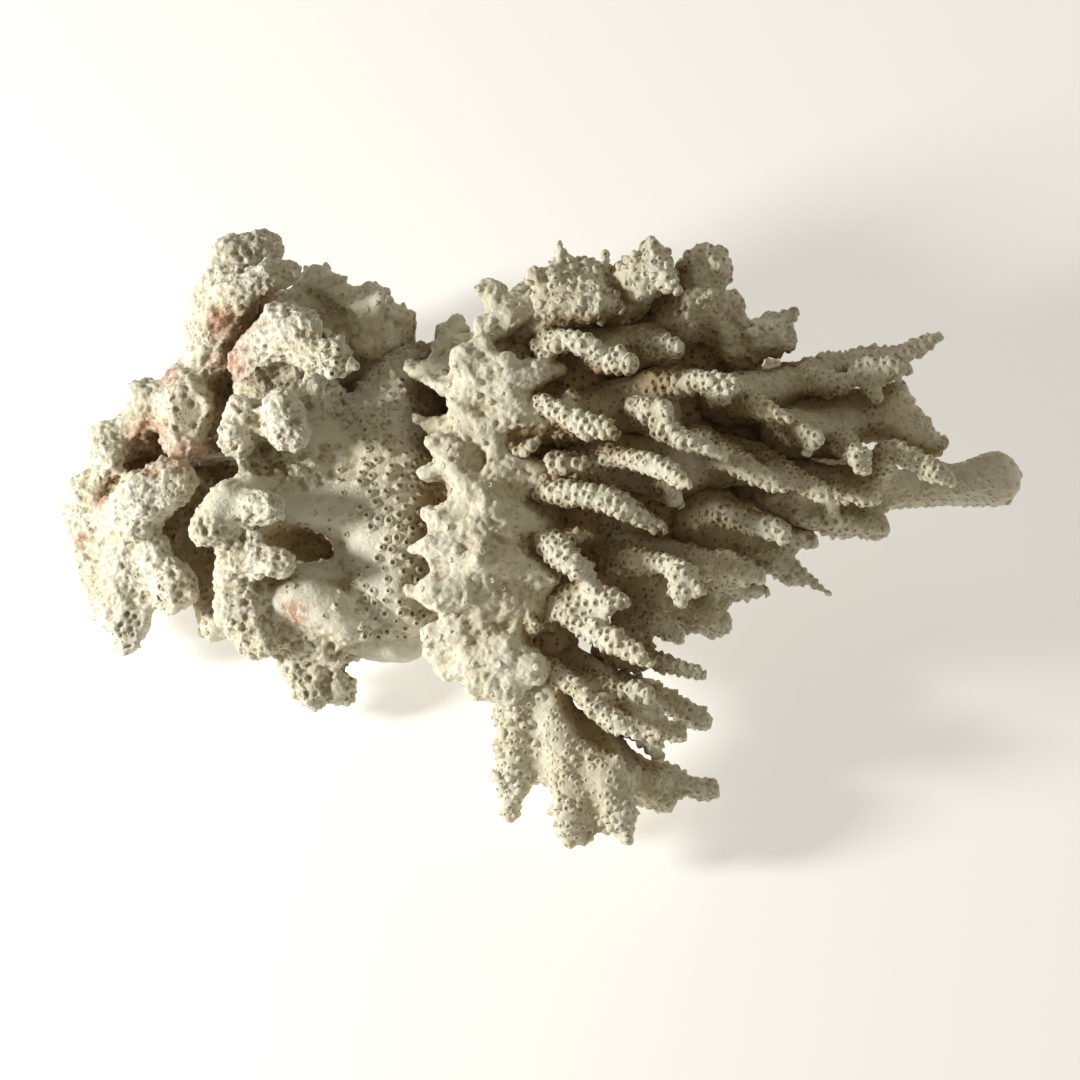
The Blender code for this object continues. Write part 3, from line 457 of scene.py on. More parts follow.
def rooted(strokes):
    # a lump that stands alone gets a neck from the nearest stroke
    out = []
    for stroke in strokes:
        if len(stroke) > 1:
            out.append(stroke)
            continue
        lump = stroke[0]
        others = [spot for other in strokes for spot in other if len(other) > 1]
        nearest = min(others, key=lambda spot: math.dist(spot[:3], lump[:3]) - spot[3])
        out.append([(*nearest[:3], min(nearest[3], lump[3] * skinning["neckShare"])), lump])
    return out


# Small side sprouts, which break up the outline of a finger
sprouting = {
    "count": 3, "from": 0.3, "to": 0.85, "foot": 2.3, "sunk": 0.8, "tip": 1.6, "tipVary": (0.8, 1.1),
    "out": 1.3, "ahead": 2.2, "aheadVary": (0.7, 1.4), "thickestTip": 4.7, "thickest": 6.0, "lowest": -0.6,
}


def sprouted(strokes, seed):
    draw = random.Random(seed)
    extra = []
    for stroke in strokes:
        if len(stroke) < 3 or stroke[-1][3] > sprouting["thickestTip"]:
            continue
        for _ in range(sprouting["count"]):
            along = draw.uniform(sprouting["from"], sprouting["to"]) * (len(stroke) - 1)
            i = int(along)
            share = along - i
            here, then = Vector(stroke[i][:3]), Vector(stroke[i + 1][:3])
            radius = stroke[i][3] * (1 - share) + stroke[i + 1][3] * share
            way = (then - here).normalized()
            turn = draw.uniform(0, 2 * math.pi)
            side = way.orthogonal().normalized()
            side = side * math.cos(turn) + way.cross(side) * math.sin(turn)
            if radius > sprouting["thickest"] or side.z < sprouting["lowest"]:
                continue
            root = here.lerp(then, share) + side * (radius - sprouting["foot"] * sprouting["sunk"])
            end = here.lerp(then, share) + side * (radius - sprouting["tip"] + sprouting["out"])
            end += way * sprouting["ahead"] * draw.uniform(*sprouting["aheadVary"])
            tip = sprouting["tip"] * draw.uniform(*sprouting["tipVary"])
            extra.append([(*root, sprouting["foot"]), (*end, tip)])
    return strokes + extra


def fuse(thing, size):
    finishWith(thing, "REMESH", mode="VOXEL", voxel_size=size * mm)


def swell(thing, height):
    finishWith(thing, "DISPLACE", strength=height * mm, mid_level=0.0)


def soften(thing):
    finishWith(thing, "SMOOTH", factor=skinning["soften"], iterations=skinning["softenRounds"])


def modelStrokes(name, strokes, thin, grain, web):
    spots = [[(onBoard(*lump[:3]), slimmed(lump[3], thin) * mm) for lump in stroke] for stroke in strokes]
    deselectAll()
    place, radius = spots[0][0]
    bpy.ops.mesh.primitive_ico_sphere_add(
        subdivisions=skinning["lumpSteps"], radius=radius, location=place
    )
    thing = bpy.context.object
    thing.name = thing.data.name = name
    bpy.ops.object.transform_apply(location=True, rotation=True, scale=True)
    bpy.ops.object.mode_set(mode="EDIT")
    for stroke in spots:
        for place, radius in stroke:
            bpy.ops.mesh.primitive_ico_sphere_add(
                subdivisions=skinning["lumpSteps"], radius=radius, location=place
            )
        for (start, startRadius), (end, endRadius) in zip(stroke, stroke[1:]):
            along = end - start
            bpy.ops.mesh.primitive_cone_add(
                vertices=skinning["neckSides"],
                radius1=startRadius,
                radius2=endRadius,
                depth=along.length,
                location=(start + end) / 2,
                rotation=along.to_track_quat("Z", "Y").to_euler(),
            )
    bpy.ops.object.mode_set(mode="OBJECT")
    draft = grain * (skinning["draft"] if web else 1)
    fuse(thing, draft)
    soften(thing)
    if web:
        # swollen, fused again and drawn back, which fills the crotches between limbs
        swell(thing, web)
        fuse(thing, draft)
        soften(thing)
        # drawn back a little too far and swollen again, so that no thread is left hanging
        swell(thing, -(web + skinning["thread"]))
        fuse(thing, grain)
        swell(thing, skinning["thread"])
        soften(thing)
    return thing


# Relief, from slow swells down to pits and grain, each with a size and a height in millimetres
def relief(name, kind, size, **settings):
    texture = bpy.data.textures.new(name, type=kind)
    texture.noise_scale = size * mm
    for key, value in settings.items():
        setattr(texture, key, value)
    return texture


reliefs = {
    "swell": relief("swell", "CLOUDS", 9.0, noise_depth=1),
    "lump": relief("lump", "CLOUDS", 4.0, noise_depth=2),
    "pit": relief("pit", "VORONOI", 2.7, weight_1=1.0, noise_intensity=1.2),
    "finePit": relief("finePit", "VORONOI", 1.5, weight_1=1.0, noise_intensity=1.2),
    "grain": relief("grain", "CLOUDS", 1.3, noise_depth=1),
    "crease": relief("crease", "CLOUDS", 6.5, noise_depth=3, noise_type="HARD_NOISE"),
    "fray": relief("fray", "CLOUDS", 2.4, noise_depth=3, noise_type="HARD_NOISE"),
}


def roughen(thing, heights, group=""):
    for kind, height in heights.items():
        finishWith(
            thing, "DISPLACE", texture=reliefs[kind], texture_coords="LOCAL",
            strength=height * mm, mid_level=0.5, vertex_group=group,
        )


def clearance(places, strokes):
    # how far each place lies from the nearest lump or neck of these strokes
    best = np.full(len(places), 1e3)
    for stroke in strokes:
        spots = [(np.array(onBoard(*lump[:3]) / mm), lump[3]) for lump in stroke]
        for (start, startRadius), (end, endRadius) in zip(spots, spots[1:] or spots):
            along = end - start
            share = np.clip((places - start) @ along / max(along @ along, 1e-6), 0, 1)
            away = np.linalg.norm(places - start - np.outer(share, along), axis=1)
            best = np.minimum(best, away - startRadius - share * (endRadius - startRadius))
    return best


# How worn skin fades into skin that stayed smooth, in millimetres, and in how many steps
wearing = {"past": 1.5, "over": 4.0, "steps": 10}


def markWorn(thing, piece):
    # 1 on old worn lobes, 0 on limbs that stayed smooth
    worn = np.ones(len(thing.data.vertices))
    if piece.get("smooth"):
        places = points(thing) / mm
        plain = [stroke for name in piece["smooth"] for stroke in rooted(limbs[name])] + piece["bare"]
        rough = [stroke for name in piece["limbs"] if name not in piece["smooth"]
                 for stroke in rooted(limbs[name])]
        nearer = clearance(places, plain) - clearance(places, rough)
        worn = np.clip((nearer + wearing["past"]) / wearing["over"], 0, 1)
    group = thing.vertex_groups.new(name="worn")
    for level in range(wearing["steps"] + 1):
        chosen = np.flatnonzero(np.round(worn * wearing["steps"]) == level)
        group.add([int(i) for i in chosen], level / wearing["steps"], "REPLACE")
    store = thing.data.attributes.new("smoothness", "FLOAT", "POINT")
    store.data.foreach_set("value", (1 - worn).astype(np.float32))


def points(thing):
    places = np.empty(len(thing.data.vertices) * 3)
    thing.data.vertices.foreach_get("co", places)
    return places.reshape(-1, 3)


def movePoints(thing, places):
    thing.data.vertices.foreach_set("co", places.ravel())
    thing.data.update()


def normals(thing):
    out = np.empty(len(thing.data.vertices) * 3)
    thing.data.vertex_normals.foreach_get("vector", out)
    return out.reshape(-1, 3)


def keepLargest(thing):
    # the remesh can leave a closed bubble inside a crowded limb
    shape = bmesh.new()
    shape.from_mesh(thing.data)
    unseen = set(shape.verts)
    groups = []
    while unseen:
        first = unseen.pop()
        group = [first]
        for vertex in group:
            for edge in vertex.link_edges:
                other = edge.other_vert(vertex)
                if other in unseen:
                    unseen.remove(other)
                    group.append(other)
        groups.append(group)
    groups.sort(key=len, reverse=True)
    spare = [vertex for group in groups[1:] for vertex in group]
    bmesh.ops.delete(shape, geom=spare, context="VERTS")
    shape.to_mesh(thing.data)
    shape.free()


# Old breaks: a lobe is planed flat at a point of the board, facing a way, and hollowed by holes
breaks = [
    {"at": (-90, 32, -13.5), "facing": (0.35, 0.1, 1.0), "reach": 6.5, "holes": 34, "hole": 1.0},
    {"at": (-92, -12, -7), "facing": (0.4, -0.1, 1.0), "reach": 5.0, "holes": 18, "hole": 0.9},
    {"at": (-104, -20, -13), "facing": (0.3, -0.3, 1.0), "reach": 5.5, "holes": 22, "hole": 0.9},
    {"at": (-74, 71, -13), "facing": (0.1, 0.5, 1.0), "reach": 5.0, "holes": 16, "hole": 1.1},
    {"at": (-83, 2, 9.5), "facing": (-0.1, -0.3, 1.0), "reach": 4.0, "holes": 14, "hole": 0.8},
    {"at": (-57, -35, -8), "facing": (0.1, -0.2, 1.0), "reach": 6.0, "holes": 24, "hole": 0.85},
    {"at": (-51, 45, 11), "facing": (0.6, -0.3, 1.0), "reach": 4.0, "holes": 12, "hole": 0.8},
    {"at": (-70, 27, 4), "facing": (-0.5, 0.0, 1.0), "reach": 4.0, "holes": 14, "hole": 0.75},
]
breaking = {
    "edge": 1.5, "rise": 2.0, "within": 0.85, "holeVary": (0.6, 1.25), "deepVary": (0.5, 1.0), "through": 3.0,
    "darkFrom": 1.2,
}


def breakFaces(thing, seed):
    draw = random.Random(seed)
    places = points(thing) / mm
    hollow = np.zeros(len(places))
    for spot in breaks:
        middle = np.array(onBoard(*spot["at"]) / mm)
        way = np.array(boardWay(*spot["facing"]).normalized())
        side = np.cross(way, (0.0, 0.0, 1.0))
        side /= np.linalg.norm(side)
        up = np.cross(way, side)
        offset = places - middle
        height = offset @ way
        flat = np.linalg.norm(offset - np.outer(height, way), axis=1)
        inside = (flat < spot["reach"]) & (np.abs(height) < spot["reach"])
        if not inside.any():
            continue
        edge = np.clip((spot["reach"] - flat) / breaking["edge"], 0, 1)
        edge = edge * np.clip((spot["reach"] - height) / breaking["rise"], 0, 1)
        proud = inside & (height > 0)
        places[proud] -= np.outer((height * edge)[proud], way)
        made = []
        for _ in range(spot["holes"]):
            turn = draw.uniform(0, 2 * math.pi)
            out = math.sqrt(draw.random()) * spot["reach"] * breaking["within"]
            size = spot["hole"] * draw.uniform(*breaking["holeVary"])
            deep = size * draw.uniform(*breaking["deepVary"])
            centre = middle + side * out * math.cos(turn) + up * out * math.sin(turn)
            if any(np.linalg.norm(centre - other) < size + otherSize for other, otherSize in made):
                continue
            made.append((centre, size))
            offset = places - centre
            height = offset @ way
            away = np.linalg.norm(offset - np.outer(height, way), axis=1)
            near = (away < size) & (np.abs(height) < breaking["through"])
            push = (1 - (away[near] / size) ** 2) ** 0.5 * deep
            places[near] -= np.outer(push, way)
            hollow[near] = np.maximum(hollow[near], np.clip(push / breaking["darkFrom"], 0, 1))
    movePoints(thing, places * mm)
    # hole holds how deep each hole was pushed; the finish darkens the holes with it, as painted shade
    store = thing.data.attributes.new("hole", "FLOAT", "POINT")
    store.data.foreach_set("value", hollow.astype(np.float32))


# Deep hollows between the old lobes: skin that lies below a level is pushed back, and darkened with painted
# shade
hollows = [
    {"at": (-76.0, 17.0), "size": (11.0, 4.0), "turn": -8.0, "below": -13.0, "push": 8.0},
    {"at": (-60.5, -1.5), "size": (9.0, 5.0), "turn": -15.0, "below": -2.0, "push": 11.0, "shift": 5.5},
    {"at": (-86.0, 0.0), "size": (5.0, 15.0), "turn": 0.0, "below": -16.0, "push": 3.0},
    {"at": (-101.0, 17.5), "size": (8.0, 3.0), "turn": 20.0, "below": -20.0, "push": 3.0},
]
slope = {
    "push": 0.35, "stain": 0.12, "above": 7.0, "deepFrom": 9, "back": 42.0, "backFade": 8, "fade": 3,
    "levelFade": 2, "facing": 3,
}


def onTheBoard(places):
    # across, up and toward, in millimetres
    offset = places - np.array(board["middle"])
    turned = np.array([boardWay(1, 0, 0), boardWay(0, 1, 0), boardWay(0, 0, 1)])
    return offset @ turned.T


def hollowShare(laid, spot, edge, above=0.0):
    # 1 in the middle of a hollow, 0 outside it, with an edge of this share of its size
    turn = math.radians(spot["turn"])
    across, up = laid[:, 0] - spot["at"][0], laid[:, 1] - spot["at"][1]
    along = (across * math.cos(turn) + up * math.sin(turn)) / spot["size"][0]
    over = (up * math.cos(turn) - across * math.sin(turn)) / spot["size"][1]
    share = np.clip(1 - np.sqrt(along ** 2 + over ** 2), 0, 1) / edge
    return np.clip(share, 0, 1) * np.clip((spot["below"] + above - laid[:, 2]) / slope["levelFade"], 0, 1)


def pushHollows(thing):
    places = points(thing) / mm
    laid = onTheBoard(places)
    back = np.array(boardWay(0, 0, -1))
    for spot in hollows:
        near = np.clip((spot["below"] - laid[:, 2]) / slope["fade"], 0, 1)
        front = np.clip((laid[:, 2] + slope["back"]) / slope["backFade"], 0, 1)
        share = hollowShare(laid, spot, slope["push"])
        places += np.outer(share * near * front * spot["push"], back)
        places[:, 0] += share * near * front * spot.get("shift", 0)
    movePoints(thing, places * mm)


def shadeHollows(thing):
    # painted shade: in the hollows, the recess reading that the finish paints dark is raised, on skin that
    # faces out of the board
    store = thing.data.attributes["recess"].data
    depth = np.empty(len(store))
    store.foreach_get("value", depth)
    laid = onTheBoard(points(thing) / mm)
    facing = np.clip(normals(thing) @ np.array(boardWay(0, 0, 1)) * slope["facing"], 0, 1)
    facing *= np.clip((laid[:, 2] + slope["back"]) / slope["backFade"], 0, 1)
    for spot in hollows:
        above = slope["above"] if spot["push"] > slope["deepFrom"] else 0
        depth = np.maximum(depth, hollowShare(laid, spot, slope["stain"], above) * facing)
    store.foreach_set("value", depth)


# The flat cut the colony rests on, with the pores that a cut through coral lays open
cutFace = {"pore": 2.1, "deep": 1.1, "from": 0.42, "above": 0.3}


def planeCut(thing):
    places = points(thing)
    sunk = np.flatnonzero(places[:, 2] < 0)
    for i in sunk:
        spot = Vector((places[i, 0], places[i, 1], 0.0)) / (cutFace["pore"] * mm)
        away = mathNoise.voronoi(spot)[0][0]
        places[i, 2] = max(0.0, cutFace["from"] - away) * cutFace["deep"] * mm
    movePoints(thing, places)


# One node group reads how hollow a place is and how deep it lies among the branches; the finishes paint shade
# from both readings
reading = {"ways": 22, "reach": 26.0, "lift": 3.2, "fall": 0.5, "blurRounds": 7, "recessBlur": 14}


def sphereWays(count):
    golden = math.pi * (3 - math.sqrt(5))
    ways = []
    for i in range(count):
        z = 1 - (2 * i + 1) / count
        flat = math.sqrt(1 - z * z)
        ways.append((flat * math.cos(golden * i), flat * math.sin(golden * i), z))
    return ways


def startGroup(name):
    group = bpy.data.node_groups.new(name, "GeometryNodeTree")
    group.interface.new_socket("Geometry", in_out="INPUT", socket_type="NodeSocketGeometry")
    group.interface.new_socket("Geometry", in_out="OUTPUT", socket_type="NodeSocketGeometry")
    return group, group.nodes.new("NodeGroupInput"), group.nodes.new("NodeGroupOutput")


def addNode(tree, kind, inputs=None, **settings):
    node = tree.nodes.new(kind)
    for name, value in settings.items():
        setattr(node, name, value)
    for name, value in (inputs or {}).items():
        socket = node.inputs[name]
        if isinstance(value, bpy.types.NodeSocket):
            tree.links.new(value, socket)
        else:
            socket.default_value = value
    return node


def outOf(node, name=0):
    if isinstance(name, str):
        return next(s for s in node.outputs if s.name == name and s.enabled)
    return [s for s in node.outputs if s.enabled][name]


def valueSocket(node):
    return next(s for s in node.inputs if s.name == "Value" and s.enabled)


def blur(group, value, kind, rounds):
    node = addNode(group, "GeometryNodeBlurAttribute", data_type=kind)
    group.links.new(value, valueSocket(node))
    node.inputs["Iterations"].default_value = rounds
    return outOf(node)


def storeValue(group, geometry, name, value):
    # keeps a value on every point, under a name
    node = addNode(
        group, "GeometryNodeStoreNamedAttribute", {"Geometry": geometry, "Name": name},
        data_type="FLOAT", domain="POINT",
    )
    group.links.new(value, valueSocket(node))
    return node.outputs[0]


def doMath(tree, operation, a, b=0.0, c=0.0, clamp=False):
    node = addNode(tree, "ShaderNodeMath", {0: a, 1: b, 2: c}, operation=operation, use_clamp=clamp)
    return node.outputs[0]


def vectorMath(tree, operation, a, b=(0, 0, 0), out=0):
    node = addNode(tree, "ShaderNodeVectorMath", {0: a, 1: b}, operation=operation)
    return node.outputs[out]


def makeReader(occluder):
    group, start, end = startGroup("readDepth")
    place = addNode(group, "GeometryNodeInputPosition").outputs[0]
    normal = addNode(group, "GeometryNodeInputNormal").outputs[0]
    lift = vectorMath(group, "SUBTRACT", blur(group, place, "FLOAT_VECTOR", reading["blurRounds"]), place)
    hollow = doMath(group, "MULTIPLY", vectorMath(group, "DOT_PRODUCT", lift, normal, 1), 1 / mm)
    keptHollow = storeValue(group, start.outputs[0], "hollow", hollow)
    target = addNode(group, "GeometryNodeObjectInfo")
    target.inputs["Object"].default_value = occluder
    step = addNode(group, "ShaderNodeVectorMath", {0: normal, 3: reading["lift"] * mm}, operation="SCALE")
    source = vectorMath(group, "ADD", place, step.outputs[0])
    blocked, total = None, None
    for way in sphereWays(reading["ways"]):
        ray = addNode(
            group, "GeometryNodeRaycast",
            {"Target Geometry": target.outputs["Geometry"], "Source Position": source,
             "Ray Direction": way, "Ray Length": reading["reach"] * mm},
        )
        facing = doMath(group, "MAXIMUM", vectorMath(group, "DOT_PRODUCT", normal, way, 1), 0.0)
        away = doMath(group, "DIVIDE", ray.outputs["Hit Distance"], reading["reach"] * mm)
        near = doMath(group, "POWER", doMath(group, "SUBTRACT", 1.0, away, clamp=True), reading["fall"])
        share = doMath(group, "MULTIPLY", doMath(group, "MULTIPLY", ray.outputs["Is Hit"], near), facing)
        blocked = share if blocked is None else doMath(group, "ADD", blocked, share)
        total = facing if total is None else doMath(group, "ADD", total, facing)
    even = blur(group, doMath(group, "DIVIDE", blocked, total), "FLOAT", reading["recessBlur"])
    group.links.new(storeValue(group, keptHollow, "recess", even), end.inputs[0])
    return group


def makePlanter(spots, template):
    # sets a copy of the template on every spot, turned and sized by the spot's own values
    group, start, end = startGroup("plant_" + template.name)
    spotInfo = addNode(group, "GeometryNodeObjectInfo")
    spotInfo.inputs["Object"].default_value = spots
    cupInfo = addNode(group, "GeometryNodeObjectInfo")
    cupInfo.inputs["Object"].default_value = template
    # the cups take the recess reading of the skin under them, so the painted shade in recesses reaches them
    # too
    depth = addNode(group, "GeometryNodeInputNamedAttribute", {"Name": "recess"}, data_type="FLOAT")
    place = addNode(group, "GeometryNodeInputPosition").outputs[0]
    sample = addNode(group, "GeometryNodeSampleNearestSurface", data_type="FLOAT")
    group.links.new(start.outputs[0], sample.inputs[0])
    group.links.new(outOf(depth), valueSocket(sample))
    group.links.new(place, sample.inputs["Sample Position"])
    kept = storeValue(group, spotInfo.outputs["Geometry"], "recess", outOf(sample))
    turn = addNode(group, "GeometryNodeInputNamedAttribute", {"Name": "turn"}, data_type="QUATERNION")
    size = addNode(group, "GeometryNodeInputNamedAttribute", {"Name": "size"}, data_type="FLOAT_VECTOR")
    copies = addNode(
        group, "GeometryNodeInstanceOnPoints",
        {"Points": kept, "Instance": cupInfo.outputs["Geometry"],
         "Rotation": outOf(turn), "Scale": outOf(size)},
    )
    real = addNode(group, "GeometryNodeRealizeInstances", {"Geometry": copies.outputs[0]})
    joined = addNode(group, "GeometryNodeJoinGeometry")
    group.links.new(real.outputs[0], joined.inputs[0])
    group.links.new(start.outputs[0], joined.inputs[0])
    group.links.new(joined.outputs[0], end.inputs[0])
    return group


# The cups the polyps lived in. One unit is one millimetre; +Z is the way a cup opens and
# +X the side that faces the tip of the finger.
cupKinds = {
    "scaleCup": {"sides": 8, "foot": 1.7, "toe": 1.4, "shoulder": 1.08, "rim": 0.82, "mouth": 0.56,
                 "floor": 0.38, "height": 0.42, "root": 0.75, "sunk": 0.5, "lip": 0.3},
    "toothCup": {"sides": 7, "foot": 1.5, "toe": 1.2, "shoulder": 0.88, "rim": 0.62, "mouth": 0.42,
                 "floor": 0.28, "height": 0.8, "root": 0.8, "sunk": 0.4, "lip": 0.55},
    "lowCup": {"sides": 7, "foot": 1.6, "toe": 1.25, "shoulder": 0.98, "rim": 0.76, "mouth": 0.56,
               "floor": 0.42, "height": 0.24, "root": 0.5, "sunk": 0.44, "lip": 0.16},
    "ringCup": {"sides": 9, "foot": 1.6, "toe": 1.2, "shoulder": 0.95, "rim": 0.76, "mouth": 0.52,
                "floor": 0.44, "height": 0.62, "root": 0.45, "sunk": 0.6, "lip": 0.1},
    "tallCup": {"sides": 9, "foot": 1.6, "toe": 1.25, "shoulder": 0.95, "rim": 0.74, "mouth": 0.46,
                "floor": 0.38, "height": 1.4, "root": 0.4, "sunk": 0.8, "lip": 0.2},
    "flushCup": {"sides": 7, "foot": 1.4, "toe": 1.1, "shoulder": 0.86, "rim": 0.7, "mouth": 0.54,
                 "floor": 0.46, "height": 0.12, "root": 0.25, "sunk": 0.22, "lip": 0.05},
}


# Shares of a cup's height and width that all kinds have in common
cupShape = {
    "shoulder": 0.6, "rim": 0.4, "drop": 0.06, "wallPit": 0.4, "near": 0.01, "upward": 0.9, "lipFrom": -0.2,
    "lipPull": 0.4,
}


def modelCup(name, cup):
    # a cone is drawn up ring by ring from its buried foot to its rim, then sunk at its mouth
    deselectAll()
    bpy.ops.mesh.primitive_cone_add(
        vertices=cup["sides"], radius1=cup["foot"], radius2=cup["toe"], depth=cup["root"],
        location=(0, 0, -cup["root"] / 2), end_fill_type="NGON",
    )
    thing = bpy.context.object
    thing.name = thing.data.name = name
    bpy.ops.object.transform_apply(location=True, rotation=True, scale=True)
    bpy.ops.object.mode_set(mode="EDIT")
    bpy.ops.mesh.select_all(action="DESELECT")
    bpy.ops.object.mode_set(mode="OBJECT")
    for face in thing.data.polygons:
        face.select = face.normal.z > cupShape["upward"]
    bpy.ops.object.mode_set(mode="EDIT")
    reached = cup["toe"]
    high = cup["height"]
    for radius, lift in (
        (cup["shoulder"], high * cupShape["shoulder"]), (cup["rim"], high * cupShape["rim"]),
        (cup["mouth"], -cupShape["drop"]), (cup["floor"], cupShape["drop"] - cup["sunk"]),
    ):
        bpy.ops.mesh.extrude_region_move(TRANSFORM_OT_translate={"value": (0, 0, lift)})
        bpy.ops.transform.resize(value=(radius / reached, radius / reached, 1))
        reached = radius
    bpy.ops.object.mode_set(mode="OBJECT")
    # pit marks the cup's floor (1) and inner wall (0.4), which the finish paints dark: painted shade inside
    # the opening
    pits = []
    for vertex in thing.data.vertices:
        away = math.hypot(vertex.co.x, vertex.co.y)
        sunk = away < cup["floor"] + cupShape["near"]
        inner = away < cup["mouth"] + cupShape["near"]
        pits.append(1.0 if sunk else cupShape["wallPit"] if inner else 0.0)
        if vertex.co.z > cupShape["near"] or inner:
            vertex.co.z -= cup["lip"] * vertex.co.x
            if vertex.co.x < cupShape["lipFrom"]:
                vertex.co.x += cup["lip"] * cupShape["lipPull"]
    store = thing.data.attributes.new("pit", "FLOAT", "POINT")
    store.data.foreach_set("value", pits)
    bpy.ops.object.shade_smooth()
    return thing


cups = {name: modelCup(name, cup) for name, cup in cupKinds.items()}
print("cups modelled")

# How cups are set: in rows along a finger, in rings round its tip, and wider on a thick body
setting = {
    "step": 2.0, "row": 2.25, "rowOut": 0.6, "least": 1.62, "lean": 10.0, "leanVary": (-10, 10),
    "toothLean": 24.0, "teeth": 0.36, "sizeVary": (0.78, 1.14), "turnVary": (-0.2, 0.2),
    "alongVary": (-0.6, 0.6), "smallest": 0.62, "perRadius": 0.1,
    "missing": 0.05, "patch": 5.0, "vary": 0.5, "pullVary": (0.5, 1.2),
    "thickFrom": 5.4, "bodyStep": 2.1, "bodyLeast": 0.85, "bodyLean": 8.0, "bodyVary": (0.78, 1.0),
    "tipTurns": (66.0, 34.0), "tipOut": 0.5, "tipSize": 1.1, "tipVary": (0.75, 1.1), "tipLeast": 1.35,
    "thickTipLeast": 2.0, "deepStep": 2.5, "deepFrom": 0.55, "deepest": 3.0, "facing": 0.25,
    "buriedReach": 5.0, "buriedBy": 0.2, "overFloor": 2.0,
}


class Spots:
    # the cups already set, kept in a coarse grid so that none stand too close
    def __init__(self, least):
        self.least = least
        self.cells = {}
        self.found = []

    def free(self, place, least=None):
        least = (least or self.least) * mm
        key = [int(math.floor(c / (self.least * mm))) for c in place]
        reach = int(math.ceil(least / (self.least * mm)))
        for x in range(key[0] - reach, key[0] + reach + 1):
            for y in range(key[1] - reach, key[1] + reach + 1):
                for z in range(key[2] - reach, key[2] + reach + 1):
                    for other in self.cells.get((x, y, z), ()):
                        if (other - place).length < least:
                            return False
        return True

    def add(self, place, opening, tipward, size, kind):
        key = tuple(int(math.floor(c / (self.least * mm))) for c in place)
        self.cells.setdefault(key, []).append(place)
        side = tipward - opening * tipward.dot(opening)
        if side.length < 1e-4:
            side = opening.orthogonal()
        side.normalize()
        turn = Matrix((side, opening.cross(side), opening)).transposed().to_quaternion()
        self.found.append((place, turn, size, kind))


def stations(stroke):
    # places along a stroke with their way and radius, one cup's step apart
    spots = [onBoard(*lump[:3]) for lump in stroke]
    ways = []
    for i in range(len(spots)):
        ways.append((spots[min(i + 1, len(spots) - 1)] - spots[max(i - 1, 0)]).normalized())
    rings = []
    carried = 0.0
    for i in range(len(spots) - 1):
        span = (spots[i + 1] - spots[i]).length / mm
        while carried < span:
            share = carried / span
            rings.append((
                spots[i].lerp(spots[i + 1], share),
                ways[i].lerp(ways[i + 1], share).normalized(),
                stroke[i][3] * (1 - share) + stroke[i + 1][3] * share,
            ))
            carried += setting["step"]
        carried -= span
    return rings, spots[-1], ways[-1]


def buried(place, normal, others):
    if place.z < setting["overFloor"] * mm:
        return True
    for low, high, tree in others:
        if all(low[i] < place[i] < high[i] for i in range(3)):
            near, way, _, _ = tree.find_nearest(place, setting["buriedReach"] * mm)
            if near is not None and (place - near).dot(way) < setting["buriedBy"] * mm:
                return True
    return False


def cupSize(radius):
    # thin fingers carry smaller cups
    return min(1.0, setting["smallest"] + radius * setting["perRadius"])


